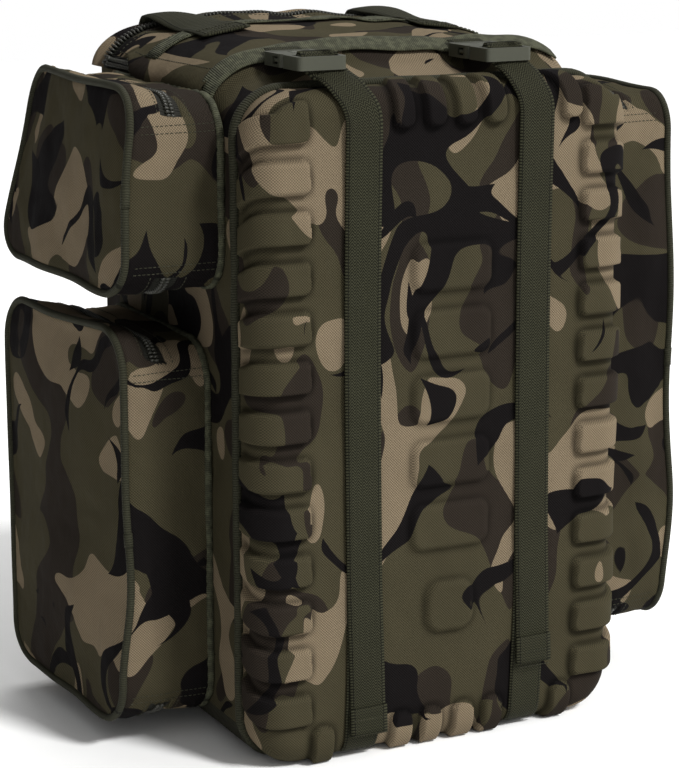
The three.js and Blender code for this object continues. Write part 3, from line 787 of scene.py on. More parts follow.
def build_front_panel():
    depth = SEAM_Y - (PANEL_LOW[1] + FRONT_RELIEF)
    stride = 4             # lines of the outer skin for each line of the inner one
    spacing, thickness = 1.9, 4.0
    box = RimBox(HALF_WIDTH - 1, PANEL_HALF_HEIGHT, FRONT_CORNER, FRONT_EDGE, depth, spacing,
                 multiple=stride)
    crown = 1.5 * (1 - (box.across / HALF_WIDTH) ** 2) * (1 - (box.up / PANEL_HALF_HEIGHT) ** 2)
    points = np.stack([box.across, SEAM_Y - box.out - crown, box.up + PANEL_MID_Z], 1)
    normals = point_normals(points, box.faces)
    relief = front_relief(box.a, box.b + PANEL_MID_Z)
    relief *= smoothstep(7, 16, box.q)
    wave = Ripple(11, 90)(points) * 0.7 + Ripple(12, 26)(points) * 0.16
    outer = points + normals * (relief + wave * smoothstep(0, 20, box.q))[:, None]
    outer[:, 2] = np.maximum(outer[:, 2], 0.3)
    coarse = np.arange(box.rows * box.columns).reshape(box.rows, box.columns)[::stride, ::stride]
    inner = (points - normals * thickness)[coarse.ravel()]
    inner_faces = grid_faces(*coarse.shape)[:, ::-1] + len(outer)
    faces = [list(f) for f in box.faces] + [list(f) for f in inner_faces]
    faces += rim_fan(box.rows, box.columns, stride, len(outer), coarse.shape[1])
    panel = make_piece("eva_front_panel", np.concatenate([outer, inner]), faces, "shell", MOULDED,
                       ["front_panel"], shift=EVA_PATTERN)
    # Painted shade: points lower than their blurred neighbours, in the grooves between the raised blocks,
    # get a value that darkens the moulded fabric's colour.
    around = blurred(relief.reshape(box.rows, box.columns), 3).ravel()
    dip = np.clip((around - relief) / 1.6, 0, 1)
    layer = panel.data.attributes.new("dip", "FLOAT", "POINT")
    layer.data.foreach_set("value", np.concatenate([dip, np.zeros(len(inner))]).astype(np.float32))
    loop = rounded_loop(HALF_WIDTH + 0.6, PANEL_HALF_HEIGHT + 1.0, FRONT_CORNER, 4.0)
    path = np.stack([loop[:, 0], np.full(len(loop), SEAM_Y - 1.5), loop[:, 1] + PANEL_MID_Z], 1)
    path += np.stack([Ripple(13, 60)(path), Ripple(14, 70)(path), Ripple(15, 60)(path)], 1) * 0.5
    path[:, 2] = np.maximum(path[:, 2], 4.6)
    cord = tube(path, 3.9, 10, closed=True, flatten=1.25, up=(0, 1, 0))
    woven_piece("front_seam_piping", cord, "shell", PIPING)


def rim_fan(rows, columns, stride, start, coarse_columns):
    """Faces between the fine outer rim of a grid and its coarse inner copy."""
    def outer(i, j):
        return i * columns + j

    def inner(i, j):
        return start + (i // stride) * coarse_columns + j // stride

    faces = []
    for j in range(0, columns - 1, stride):
        for i, order in ((0, 1), (rows - 1, -1)):
            face = [outer(i, j + k) for k in range(stride + 1)][::-1]
            face += [inner(i, j), inner(i, j + stride)]
            faces.append(face[::order])
    for i in range(0, rows - 1, stride):
        for j, order in ((0, -1), (columns - 1, 1)):
            face = [outer(i + k, j) for k in range(stride + 1)][::-1]
            face += [inner(i, j), inner(i + stride, j)]
            faces.append(face[::order])
    return faces


build_front_panel()


# ---------------------------------------------------------------- cloth
SIM_FRAMES = 20
CLOTH_SETTINGS = {"quality": 5, "mass": 0.3, "tension_stiffness": 15, "compression_stiffness": 15,
                  "shear_stiffness": 5, "bending_stiffness": 0.5, "use_pressure": True}


def inflate(jobs):
    """Blows several sheets up at once as cloth. Each job is (points, faces, held, pressure, cap):
    held points stay, and no point moves more than cap millimetres. Returns the moved points."""
    scene = bpy.context.scene
    sheets = []
    for points, faces, held, pressure, cap in jobs:
        mesh = bpy.data.meshes.new("sheet")
        mesh.from_pydata((points * MM).tolist(), [], faces.tolist())
        sheet = bpy.data.objects.new("sheet", mesh)
        scene.collection.objects.link(sheet)
        sheet.vertex_groups.new(name="held").add(np.nonzero(held)[0].tolist(), 1.0, "REPLACE")
        cloth = sheet.modifiers.new("cloth", "CLOTH")
        for setting, value in CLOTH_SETTINGS.items():
            setattr(cloth.settings, setting, value)
        cloth.settings.uniform_pressure_force = pressure
        cloth.settings.effector_weights.gravity = 0
        cloth.settings.vertex_group_mass = "held"
        cloth.collision_settings.use_collision = False
        cloth.point_cache.frame_start = 1
        cloth.point_cache.frame_end = SIM_FRAMES
        sheets.append(sheet)
    for step in range(1, SIM_FRAMES + 1):
        scene.frame_set(step)
    seen = bpy.context.evaluated_depsgraph_get()
    results = []
    for sheet, (points, faces, held, pressure, cap) in zip(sheets, jobs):
        moved = np.zeros(len(points) * 3, np.float32)
        sheet.evaluated_get(seen).data.vertices.foreach_get("co", moved)
        shift = moved.reshape(-1, 3) / MM - points
        far = np.maximum(np.linalg.norm(shift, axis=1), 1e-6)[:, None]
        results.append(points + shift * cap * np.tanh(far / cap) / far)
    for sheet in sheets:
        bpy.data.meshes.remove(sheet.data)
    scene.frame_set(1)
    return results


def through(field, lines, new_lines, axis):
    """Catmull-Rom interpolation of a grid field from its lines to new ones along one axis."""
    field = np.moveaxis(field, axis, 0)
    place = np.interp(new_lines, lines, np.arange(len(lines)))
    i = np.clip(np.floor(place).astype(int), 0, len(lines) - 2)
    t = (place - i).reshape(-1, *([1] * (field.ndim - 1)))
    a, b = field[np.maximum(i - 1, 0)], field[i]
    c, d = field[i + 1], field[np.minimum(i + 2, len(lines) - 1)]
    return np.moveaxis(catmull_rom(a, b, c, d, t), 0, axis)


def carry_over(coarse, shift, fine):
    """The shift of each point of a coarse RimBox, taken to a finer one of the same size."""
    field = shift.reshape(coarse.rows, coarse.columns, 3)
    field = through(field, coarse.lines_b, fine.lines_b, 0)
    return through(field, coarse.lines_a, fine.lines_a, 1).reshape(-1, 3)


def cut_out(points, faces, normals, chosen, thickness):
    """The chosen faces of a sheet as a closed solid, keeping the whole sheet's normals."""
    used, index = np.unique(faces[chosen], return_inverse=True)
    part = index.reshape(-1, faces.shape[1])
    return thicken(points[used], part, thickness, normals[used])


def sheet_piece(name, sheet, chosen, body, material, stands_for=(), thickness=2.5,
                shift=(0, 0, 0)):
    points, faces, normals = sheet
    solid, solid_faces, solid_normals = cut_out(points, faces, normals, chosen, thickness)
    piece = make_piece(name, solid, solid_faces, body, material, stands_for, shift=shift,
                       normals=solid_normals)
    if material is CAMO:
        piece.data.materials.append(LINING.material)
        count = int(np.count_nonzero(chosen))
        inner_side = np.zeros(len(solid_faces), np.int32)
        inner_side[count:2 * count] = 1
        piece.data.polygons.foreach_set("material_index", inner_side)
    return piece


def whole_sheet(name, points, faces, body, material, stands_for=(), thickness=3.0,
                shift=(0, 0, 0)):
    """A closed piece from every face of a sheet."""
    sheet = (points, faces, point_normals(points, faces))
    return sheet_piece(name, sheet, np.ones(len(faces), bool), body, material, stands_for,
                       thickness, shift)


# ---------------------------------------------------------------- sewing
def small_blocks(places, along, up, length, width, height):
    """A closed six-sided block at each place, its top narrower than its foot. Returns points,
    faces, weave."""
    side = np.cross(along, up)
    corners = []
    for lift, spread in ((-0.5, 1.0), (0.5, 0.62)):
        for da, ds in ((-1, -1), (1, -1), (1, 1), (-1, 1)):
            corners.append(places + along * (da * length / 2 * spread)
                           + side * (ds * width / 2 * spread) + up * (lift * height))
    points = np.stack(corners, 1).reshape(-1, 3)
    block = np.array([[3, 2, 1, 0], [4, 5, 6, 7], [0, 1, 5, 4], [1, 2, 6, 5], [2, 3, 7, 6],
                      [3, 0, 4, 7]])[:, ::-1]
    faces = (np.arange(len(places))[:, None, None] * 8 + block[None]).reshape(-1, 4)
    return points, faces, points[:, :2]


def along_path(path, up, pitch, closed=False):
    """Even places along a path, with their direction and outward normal."""
    places = resample(path, pitch, closed)
    key = np.linalg.norm(places[:, None] - np.asarray(path)[None], axis=2).argmin(1)
    normal = np.broadcast_to(np.asarray(up, float), np.shape(path))[key]
    along = tangents(places, closed)
    return places, along, square_to(normal, along)


def stitches(name, lines, body, length=3.0, pitch=4.4):
    """Rows of thread: each line is (path, outward normals)."""
    rows = []
    for path, up in lines:
        places, along, normal = along_path(path, up, pitch)
        rows.append(small_blocks(places + normal * 0.15, along, normal, length, 0.8, 0.7))
    woven_piece(name, joined(rows), body, THREAD)


def level_line(x, y, z, half):
    """A straight run across the bag for stitches()."""
    return np.array([[x - half, y, z], [x + half, y, z]])


def zip_teeth(name, path, up, side, body, size=1.0):
    """One row of a coil zip: side is +1 or -1, the edge of the tape that it sits on."""
    places, along, normal = along_path(path, up, 2.9 * size)
    across = np.cross(along, normal) * side
    feet = places + across * (1.75 * size) + normal * (1.3 * size)
    points, faces, _ = small_blocks(feet, along, normal, 1.8 * size, 3.7 * size, 2.7 * size)
    make_piece(name, points, faces, body, TEETH)


# ---------------------------------------------------------------- side pockets
# Depth out from the wall, lean of the outer face along Z and skew along Y, how far out the zip
# runs, how far the cloth may swell, how much of its depth the upper rear corner loses, how much
# higher the outer face's top is than the tray's, and the shift of the camouflage.
POCKETS = {
    "upper_left_pocket": {"depth": 91.0, "lean": 0.09, "skew": 0.06, "split": 46.0,
                          "swell": 11.0, "tuck": 0.27, "rise": 9.0, "pattern": (140, -60, 35)},
    "lower_left_pocket": {"depth": 92.0, "lean": 0.01, "skew": 0.12, "split": 47.0,
                          "swell": 12.0, "tuck": 0.0, "rise": 14.0, "pattern": (-90, 210, 150)},
    "right_pocket": {"depth": 99.0, "lean": 0.05, "skew": 0.0, "split": 46.0,
                     "swell": 9.0, "tuck": 0.0, "rise": 0.0, "pattern": (60, 90, -170)},
}
POCKET_CORNER = 36.0
POCKET_EDGE = 8.0
ZIP_HALF = 10.0
HEM_OFFSET = ZIP_HALF + 4      # from the split to the thread beside the zip
TAPE_THICKNESS = 1.2
ZIP_START = 7.0                # the zip stops this far behind the pocket's front gusset
WALL_GAP = 0.3
SLACK = (2.6, 2.2, 2.2)        # how far loose cloth wanders along x, y and z
POCKET_PRESSURE = 4.5
POCKET_TEETH = 1.2             # size of a zip's teeth
POCKET_PIPING = 3.3            # radius
WALL_BINDING = 2.6             # radius


class Pocket:
    """Shape of one side pocket: a coarse sheet for the cloth and a fine one for the piece."""

    def __init__(self, name):
        facts = POCKETS[name]
        low, high = span(name + "_tray")
        self.name = name
        self.seed = sum(map(ord, name))
        self.side = 1 if low[0] > 0 else -1
        self.front = low[1]
        self.split = facts["split"]
        self.facts = facts
        self.middle = (low + high) / 2
        self.half = (high - low) / 2
        depth, split = facts["depth"], self.split
        flat = depth - POCKET_EDGE
        ridge = flat + POCKET_EDGE * math.pi / 4
        inner = flat + POCKET_EDGE * math.pi / 2
        coarse_rings = [*np.linspace(0, split, 6), *np.linspace(split, flat, 6)[1:], ridge,
                        inner + 1, inner + 7]
        fine_rings = [*np.linspace(0, split - ZIP_HALF - 1.6, 9), split - ZIP_HALF, split - 6,
                      split - 3, split, split + 3, split + 6, split + ZIP_HALF,
                      *np.linspace(split + ZIP_HALF + 1.6, flat, 8), (flat + ridge) / 2, ridge,
                      (ridge + inner) / 2, inner, inner + 3, inner + 6]
        self.coarse = self.box(8.5, coarse_rings)
        self.fine = self.box(4.0, fine_rings)
        self.ridge = ridge

    def box(self, spacing, rings):
        """The pocket's sheet laid out flat, with grid lines at the given rings."""
        return RimBox(self.half[1], self.half[2], POCKET_CORNER, POCKET_EDGE,
                      self.facts["depth"], spacing, rings)

    def place(self, box):
        """Points of a sheet as it is sewn, before the cloth run."""
        y = self.middle[1] + box.across
        held = self.near_split(box, y, smoothstep(50, 110, y))
        rear_zip = smoothstep(60, 110, y) * self.beside_split(box)
        lean = 1 - self.facts["lean"] * box.up / self.half[2] * (1 - rear_zip)
        lean = lean + self.facts["skew"] * box.across / self.half[1] * smoothstep(50, 80, box.q)
        corner = (smoothstep(-0.9, 1.1, box.up / self.half[2])
                  * smoothstep(-0.4, 1.1, box.across / self.half[1]))
        lean = lean - self.facts["tuck"] * corner * smoothstep(self.split + 8, 82, box.q)
        peak = smoothstep(30, 88, box.q) * smoothstep(0.1, 0.95, box.up / self.half[2])
        points = np.stack([self.side * (HALF_WIDTH + WALL_GAP + box.out * lean), y,
                           self.middle[2] + box.up + self.facts["rise"] * peak], 1)
        loose = (smoothstep(6, 40, box.q) * (1 - held))[:, None]
        slack = np.stack([Ripple(self.seed + k, 130)(points) for k in range(3)], 1)
        return points + slack * np.array(SLACK) * loose

    def faces(self, box):
        return box.faces if self.side > 0 else box.faces[:, ::-1]

    def job(self):
        """The coarse sheet for inflate(), held at the wall, the zip and the outer ridge."""
        box = self.coarse
        held = ((box.q < 1) | (np.abs(box.q - self.ridge) < 2) | (np.abs(box.q - self.split) < 2))
        return self.place(box), self.faces(box), held, POCKET_PRESSURE, self.facts["swell"]

    def shape(self, moved):
        """The fine sheet after the cloth run, with hems, puckers and small creases."""
        box, faces = self.fine, self.faces(self.fine)
        points = self.place(box)
        swelling = carry_over(self.coarse, moved - self.place(self.coarse), box)
        calm = self.near_split(box, points[:, 1], 0)
        points = points + swelling * (1 - 0.75 * calm)[:, None]
        normals = point_normals(points, faces)
        seed = 7 * self.seed
        from_ridge = np.abs(box.q - self.ridge)
        beat = box.along / 13 * 2 * math.pi + 2.2 * Ripple(seed, 60)(points)
        pucker = 0.55 * np.sin(beat) * np.exp(-from_ridge / 9) * smoothstep(2, 6, from_ridge)
        pucker += 0.6 * np.sin(beat * 0.9) * np.exp(-box.q / 8)
        crease = Ripple(seed + 1, 46, stretch=(1, 1, 1.7))(points) * 1.15
        crease += Ripple(seed + 2, 19)(points) * 0.28
        crease *= smoothstep(2, 14, from_ridge) * smoothstep(2, 10, box.q)
        crease *= 1 - 0.75 * self.beside_split(box, 18)
        in_zip = self.zip_zone(points) * (np.abs(box.q - self.split) < ZIP_HALF + 0.5)
        lift = pucker + crease - 2.2 * in_zip
        return points + normals * lift[:, None]

    def near_split(self, box, y, rear):
        """1 along the split where the door folds at the front, and rear's value elsewhere."""
        fold = smoothstep(self.front + 32, self.front + 4, y)
        return self.beside_split(box) * np.maximum(fold, rear)

    def beside_split(self, box, reach=16):
        """1 along the split, falling to nothing within about twice the reach."""
        return np.exp(-((box.q - self.split) / reach) ** 2)

    def zip_zone(self, points):
        """True behind the front gusset, where the zip runs."""
        return points[:, 1] > self.front + ZIP_START


def build_pocket(pocket, moved):
    name, box, faces = pocket.name, pocket.fine, pocket.faces(pocket.fine)
    points = pocket.shape(moved)
    normals = point_normals(points, faces)
    sheet = (points, faces, normals)
    middle_q = box.q[faces].mean(1)
    behind = points[faces][:, :, 1].mean(1) > pocket.front + ZIP_START
    inner = middle_q < pocket.split
    zip_band = (np.abs(middle_q - pocket.split) < ZIP_HALF) & behind
    flap = name + "_flap"
    halves = (("tray", "shell", inner), ("door", flap, ~inner))
    for word, body, half in halves:
        sheet_piece(f"{name}_{word}_cloth", sheet, half & ~zip_band, body, CAMO,
                    [f"{name}_{word}"], shift=pocket.facts["pattern"])
    for word, body, half in halves:
        sheet_piece(f"{name}_{word}_tape", sheet, half & zip_band, body, ZIP_TAPE,
                    [f"{name}_{word}_zip"], TAPE_THICKNESS)
    run, up = zip_run(pocket, points, normals, pocket.split)
    hand = zip_hand(run, up, (pocket.side, 0, 0))
    zip_teeth(name + "_tray_teeth", run, up, -hand, "shell", POCKET_TEETH)
    zip_teeth(name + "_door_teeth", run, up, hand, flap, POCKET_TEETH)
    ridge = box.ring(pocket.ridge)
    cord = points[ridge] + normals[ridge] * 1.4
    loop = tube(resample(cord, 4.0, True), POCKET_PIPING, 10, True, up=(1, 0, 0))
    woven_piece(name + "_piping", loop, flap, PIPING)
    foot = resample(points[box.ring(0)], 5.0, True)
    foot += np.array([pocket.side * WALL_BINDING, 0, 0])
    loop = tube(foot, WALL_BINDING, 8, True, 1.3, (1, 0, 0))
    woven_piece(name + "_wall_binding", loop, "shell", BINDING)
    for word, body, distance in (("tray", "shell", pocket.split - HEM_OFFSET),
                                 ("door", flap, pocket.split + HEM_OFFSET)):
        stitches(f"{name}_{word}_stitching", [zip_run(pocket, points, normals, distance)], body)
    gusset_hems(pocket, points, normals)
    # A short sleeve over the piping's joint, halfway up the front edge.
    near = (cord[:, 1] < pocket.front + 8) & (np.abs(cord[:, 2] - pocket.middle[2] - 4) < 9)
    sleeve = cord[near]
    sleeve = sleeve[np.argsort(sleeve[:, 2], kind="stable")]
    cover = tube(sleeve, POCKET_PIPING + 0.6, 10, up=(1, 0, 0))
    woven_piece(name + "_piping_joint", cover, flap, PIPING)


def gusset_hems(pocket, points, normals):
    """Double rows of thread across the front gusset, just inside its top and bottom edges."""
    def at_level(field, columns, level):
        """The field's values where grid columns cross that height."""
        return np.array([[np.interp(level, points[column][:, 2], field[column][:, c])
                          for c in range(3)] for column in columns])

    box = pocket.fine
    grid = np.arange(box.rows * box.columns).reshape(box.rows, box.columns)
    rings = [k for k, line in enumerate(box.lines_a - box.lines_a[0])
             if 6 < line < pocket.ridge - 8]
    half = len(rings) // 2
    levels = [pocket.middle[2] + sign * (pocket.half[2] - inset)
              for inset in (20.0, 26.0) for sign in (-1, 1)]
    for word, body, chosen in (("tray", "shell", [k for k in rings if k <= half]),
                               ("door", pocket.name + "_flap", [k for k in rings if k > half])):
        columns = [grid[k:box.rows - k, k] for k in chosen]
        lines = [(at_level(points, columns, level), unit(at_level(normals, columns, level)))
                 for level in levels]
        stitches(f"{pocket.name}_{word}_hem", lines, body)


def zip_run(pocket, points, normals, distance):
    """Points and normals along the part of a pocket's ring that is beside its zip."""
    loop = pocket.fine.ring(distance)
    run = loop[open_run(pocket.zip_zone(points[loop]))]
    return points[run], normals[run]


def open_run(inside):
    """Indices of the one stretch of a closed loop where inside is true, in order."""
    start = int(np.argmin(inside))
    turned = (np.arange(len(inside)) + start) % len(inside)
    return turned[inside[turned]]


def zip_hand(run, up, direction):
    """The side, +1 or -1, that zip_teeth() needs for the row of teeth towards direction."""
    middle = len(run) // 2
    across = np.cross(tangents(run)[middle], up[middle])
    return 1 if across @ np.array(direction, float) > 0 else -1


# ---------------------------------------------------------------- top of the bag
def station(y):
    """Crown height, corner depth and squareness of the top's section at y."""
    return [np.interp(y, TOP_STATIONS[:, 0], TOP_STATIONS[:, k]) for k in (1, 2, 3)]


def top_sag(x, y):
    """How far the soft top lies off the plain arch, in millimetres."""
    points = np.stack(np.broadcast_arrays(x, y, 0.0 * x), -1)
    middle = np.clip(1 - (np.abs(x) / 168) ** 4, 0, 1)
    right = -6.0 * smoothstep(0, 150, x) * smoothstep(-60, 20, y)
    hollow = -4.5 * smoothstep(-71, -45, y) * smoothstep(58, 10, y) * middle
    hollow += -2.5 * smoothstep(62, 90, y) * smoothstep(146, 110, y) * middle
    folds = 2.2 * Ripple(31, 95, stretch=(1.6, 1, 1))(points) + 0.9 * Ripple(32, 38)(points)
    calm = smoothstep(-127, -110, y)
    return right * middle + hollow + folds * middle * calm


def arch_point(y, angle):
    """A point of the arched section at y; angle runs from pi on the left side to 0 on the right."""
    crown, corner, power = station(y)
    c = np.cos(angle)
    x = HALF_WIDTH * np.sign(c) * np.abs(c) ** (2 / power)
    return np.stack(np.broadcast_arrays(x, y, crown - corner + corner * np.sin(angle)), -1)


def top_point(x, y):
    """The point of the soft top over x, y."""
    crown, corner, power = station(y)
    side = np.clip(np.abs(x) / HALF_WIDTH, 0, 1)
    z = crown - corner + corner * np.sqrt(np.maximum(0, 1 - side ** power))
    return np.stack(np.broadcast_arrays(x, y, z + top_sag(x, y)), -1)


def section(y, heights, count):
    """Section at y from the left side to the right: points at the given heights on both sides,
    and count even ones over the top between them."""
    half_count = 121
    angles = np.linspace(math.pi, 0, 2 * half_count - 1)
    line = arch_point(np.full(len(angles), float(y)), angles)
    line = np.concatenate([[[-HALF_WIDTH, y, 0.0]], line, [[HALF_WIDTH, y, 0.0]]])
    sides = [np.stack([np.interp(heights, half[:, 2], half[:, k]) for k in range(3)], 1)
             for half in (line[:half_count], line[::-1][:half_count])]
    over = line[line[:, 2] > heights[-1]]
    even = evenly(np.concatenate([sides[0][-1:], over, sides[1][-1:]]), count)
    row = np.concatenate([sides[0][:-1], even, sides[1][:-1][::-1]])
    row[:, 2] += top_sag(row[:, 0], row[:, 1])
    return row


def top_sheet(stations, heights, count):
    """Points and faces of the top between the first and last station, and its column count."""
    points = np.array([section(y, heights, count) for y in stations])
    rows, columns = points.shape[:2]
    points = points.reshape(-1, 3)
    return points, facing(points, grid_faces(rows, columns), (0, 0, 1)), columns


LID_ZIP_TOP = 576.0
FRONT_LOW_Z = 531.0
MAIN_TEETH = 1.25


def build_top():
    stations = np.linspace(SEAM_Y, HINGE_Y, 16)
    points, faces, _ = top_sheet(stations, [FRONT_LOW_Z, 540, 550], 76)
    whole_sheet("top_front_cloth", points, faces, "shell", CAMO, ["top_front_panel"],
                shift=(210, 35, -60))

    stations = np.concatenate([np.linspace(HINGE_Y, LID_REAR_Y, 54), [145, 147.5, ZIP_Y, 152.5, 155,
                               RIM_Y, 161, 165, BACK_Y]])
    heights = [RIM_Z, 567, ZIP_Z, 573, LID_ZIP_TOP]
    points, faces, columns = top_sheet(stations, heights, 84)
    normals = point_normals(points, faces)
    row, column = np.divmod(np.arange(len(faces)), columns - 1)
    from_side = np.minimum(column, columns - 2 - column)
    y = stations[row]
    rim = y >= RIM_Y
    zip_rear = (y >= LID_REAR_Y) & ~rim
    lid = (from_side >= 4) & (y < LID_REAR_Y)
    lid_zip = ~lid & (from_side >= 2) & (y < ZIP_Y)
    rim_zip = ~lid & ~lid_zip & ~rim
    sunk = np.zeros(len(points))
    sunk[np.unique(faces[(lid_zip | rim_zip) & (zip_rear | (from_side < 4))])] = 1
    sunk[np.unique(faces[lid])] = 0
    sunk[np.unique(faces[rim])] = 0
    roll = np.sin(np.clip((points[:, 1] - RIM_Y) / (BACK_Y - RIM_Y), 0, 1) * math.pi * 0.8)
    roll = roll * (3.0 + 4.5 * smoothstep(90, 165, np.abs(points[:, 0])))
    roll = roll + 1.2 * smoothstep(0.1, 1, roll) * Ripple(33, 45)(points)
    left_rise = 2.6 * smoothstep(-90, -150, points[:, 0]) * smoothstep(142, 150, points[:, 1])
    points = points + normals * (roll - (1.6 - left_rise) * sunk)[:, None]
    normals = point_normals(points, faces)
    sheet = (points, faces, normals)
    sheet_piece("lid_cloth", sheet, lid, "lid", CAMO, ["lid"], 3.0, (0, 60, -20))
    sheet_piece("lid_zip_tape", sheet, lid_zip, "lid", ZIP_TAPE, ["lid_zip"], TAPE_THICKNESS)
    sheet_piece("rim_zip_tape", sheet, rim_zip, "shell", ZIP_TAPE, ["rim_zip"], TAPE_THICKNESS)
    sheet_piece("rear_rim_cloth", sheet, rim, "shell", CAMO, ["rear_rim"], 3.0, (-35, 60, 90))
    grid = np.arange(len(points)).reshape(-1, columns)
    rear = int(np.argmin(np.abs(stations - ZIP_Y)))
    start = int(np.argmin(np.abs(stations + 62)))
    run = np.concatenate([grid[start:rear, 2], grid[rear, 2:columns - 3],
                          grid[rear:start:-1, columns - 3]])
    path, up = points[run], normals[run]
    hand = zip_hand(path, up, (0, 1, 0))
    zip_teeth("rim_zip_teeth", path, up, hand, "shell", MAIN_TEETH)
    zip_teeth("lid_zip_teeth", path, up, -hand, "lid", MAIN_TEETH)
    hem = np.concatenate([grid[start:rear - 5, 5], grid[rear - 5, 5:columns - 6],
                          grid[rear - 5:start:-1, columns - 6]])
    stitches("lid_hem_stitching", [(points[hem], normals[hem])], "lid")


def over_top(y, low, lift):
    """Path across the bag's top at y, that far off it, with its outward normals."""
    ahead, row, behind = (section(at, [low, low + 8], 60) for at in (y - 4, y, y + 4))
    normal = unit(np.cross(tangents(row), behind - ahead))
    normal *= np.sign(normal[len(row) // 2][2])
    return row + normal * lift, normal


def build_bindings():
    path, up = over_top(HINGE_Y, 552, 1.6)
    clear_of_zip = (path[:, 0] < 0) | (path[:, 2] > 578)
    strip = ribbon(path[clear_of_zip], up[clear_of_zip], 21, 2.2)
    band = woven_piece("hinge_binding", strip, None, BINDING)
    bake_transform(band, "shell", "lid", (0, (HINGE_Y - 6) * MM, 0.595), (0, (HINGE_Y + 6) * MM, 0.595))
    middle_y = 60
    path, up = over_top(middle_y, 579, 1.5)
    woven_piece("lid_binding", ribbon(path, up, 25, 2.0), "lid", BINDING)
    lines = [over_top(middle_y + offset, 580, 2.6) for offset in (-10.5, 10.5)]
    stitches("lid_binding_stitching", lines, "lid")


# ---------------------------------------------------------------- walls, base and back
SEAM_GAP = 0.3         # between the front seam and the cloth behind it
BACK_EDGE = 8.0
BASE_RADIUS = 30.0


def wall_top(y):
    """Height of a side wall's upper edge, which steps up at the lid's hinge."""
    return FRONT_LOW_Z + (RIM_Z - FRONT_LOW_Z) * smoothstep(HINGE_Y - 5, HINGE_Y + 3, y)


def build_wall(side):
    word = side_word(side)
    straight = np.linspace(SEAM_Y + SEAM_GAP, BACK_Y - BACK_EDGE, 46)
    turn = np.linspace(0, math.pi / 2, 7)[1:]
    y = np.concatenate([straight, BACK_Y - BACK_EDGE + BACK_EDGE * np.sin(turn)])
    x = np.concatenate([np.full(len(straight), HALF_WIDTH),
                        HALF_WIDTH - BACK_EDGE * (1 - np.cos(turn))])
    t = np.linspace(0, 1, 80)
    z = BASE_RADIUS + (wall_top(y)[None] - BASE_RADIUS) * t[:, None]
    points = np.stack([side * np.broadcast_to(x, z.shape), np.broadcast_to(y, z.shape), z], -1)
    points = points.reshape(-1, 3)
    faces = facing(points, grid_faces(len(t), len(y)), (side, 0, 0))
    normals = point_normals(points, faces)
    calm = smoothstep(-127, -112, points[:, 1]) * smoothstep(30, 60, points[:, 2])
    calm *= smoothstep(564, 545, points[:, 2]) * smoothstep(168, 150, points[:, 1])
    wave = Ripple(41 + side, 70)(points) * 1.1 + Ripple(43 + side, 24)(points) * 0.35
    points = points + normals * (np.minimum(wave, 0) * 1.2 * calm)[:, None]
    whole_sheet(f"{word}_wall_cloth", points, faces, "shell", CAMO, [f"{word}_wall"],
                shift=(0, 300 * side, 40))


def back_outline(count):
    """Half width of the back wall at each height, from the base up to the arched top."""
    crown, corner, power = station(BACK_Y)
    z = np.concatenate([np.linspace(0, RIM_Z, count), np.linspace(RIM_Z, crown - 1.5, 16)[1:]])
    lower = np.sqrt(np.maximum(0, 1 - (1 - np.minimum(z / BASE_RADIUS, 1)) ** 2))
    half = HALF_WIDTH - BASE_RADIUS + BASE_RADIUS * lower - BACK_EDGE * 0.98
    rise = np.clip((z - (crown - corner)) / corner, 0, 1)
    arch = HALF_WIDTH * (1 - rise ** 2) ** (1 / power)
    return z, np.minimum(half, arch - 1.0)


def build_back_and_base():
    z, half = back_outline(90)
    s = np.linspace(-1, 1, 60)
    x = s[None] * half[:, None]
    points = np.stack([x, np.full_like(x, BACK_Y), np.broadcast_to(z[:, None], x.shape)], -1)
    points = points.reshape(-1, 3)
    points[:, 1] -= 0.6 + 0.6 * Ripple(51, 60)(points)
    faces = facing(points, grid_faces(len(z), len(s)), (0, 1, 0))
    whole_sheet("back_cloth", points, faces, "shell", BACK_CLOTH, ["back_wall"])

    turn = np.linspace(math.pi, 1.5 * math.pi, 12)
    corner_x = -HALF_WIDTH + BASE_RADIUS + BASE_RADIUS * np.cos(turn)
    corner_z = BASE_RADIUS + BASE_RADIUS * np.sin(turn)
    flat = np.linspace(corner_x[-1], -corner_x[-1], 60)[1:-1]
    line_x = np.concatenate([corner_x, flat, -corner_x[::-1]])
    line_z = np.concatenate([corner_z, np.zeros(len(flat)), corner_z[::-1]])
    y = np.linspace(SEAM_Y + SEAM_GAP, BACK_Y, 60)
    points = np.stack(np.broadcast_arrays(line_x, y[:, None], line_z), -1).reshape(-1, 3)
    points[:, 2] += 0.35 * (1 + Ripple(52, 50)(points))
    faces = facing(points, grid_faces(len(y), len(line_x)), (0, 0, -1))
    whole_sheet("base_cloth", points, faces, "shell", BACK_CLOTH, ["base_panel"])
    for side in SIDES:
        path = [[side * (HALF_WIDTH - BACK_EDGE), BACK_Y - 1.5, z] for z in (BASE_RADIUS, RIM_Z)]
        woven_piece(f"{side_word(side)}_back_piping", tube(resample(path, 5.0), 3.0, up=(0, 1, 0)),
                    "shell", PIPING)


# ---------------------------------------------------------------- front straps
STRAPS = {
    "left": {"x": -81.0, "tail_end": 17.0},
    "right": {"x": 82.0, "tail_end": 52.0},
}
LAYER = 1.7            # thickness of one layer of strap webbing
LEAN_FROM_Z = 540.0


def strap_spine(lift):
    """Side view (y, z) of a strap over the moulded front, that far off its face, going up."""
    face_y = PANEL_LOW[1] + FRONT_RELIEF - 1.3
    centre_y, low_z, high_z = face_y + FRONT_EDGE, 1 + FRONT_EDGE, 570 - FRONT_EDGE
    radius = FRONT_EDGE + 0.9 + lift
    below = [(centre_y - radius * math.cos(a), low_z - radius * math.sin(a))
             for a in np.radians([50, 38, 26, 13, 0])]
    above = [(centre_y - radius * math.cos(a), high_z + radius * math.sin(a))
             for a in np.radians([0, 12, 24, 36])]
    straight = [(face_y - 0.9 - lift, z) for z in np.linspace(60, 520, 24)]
    return below + straight + above


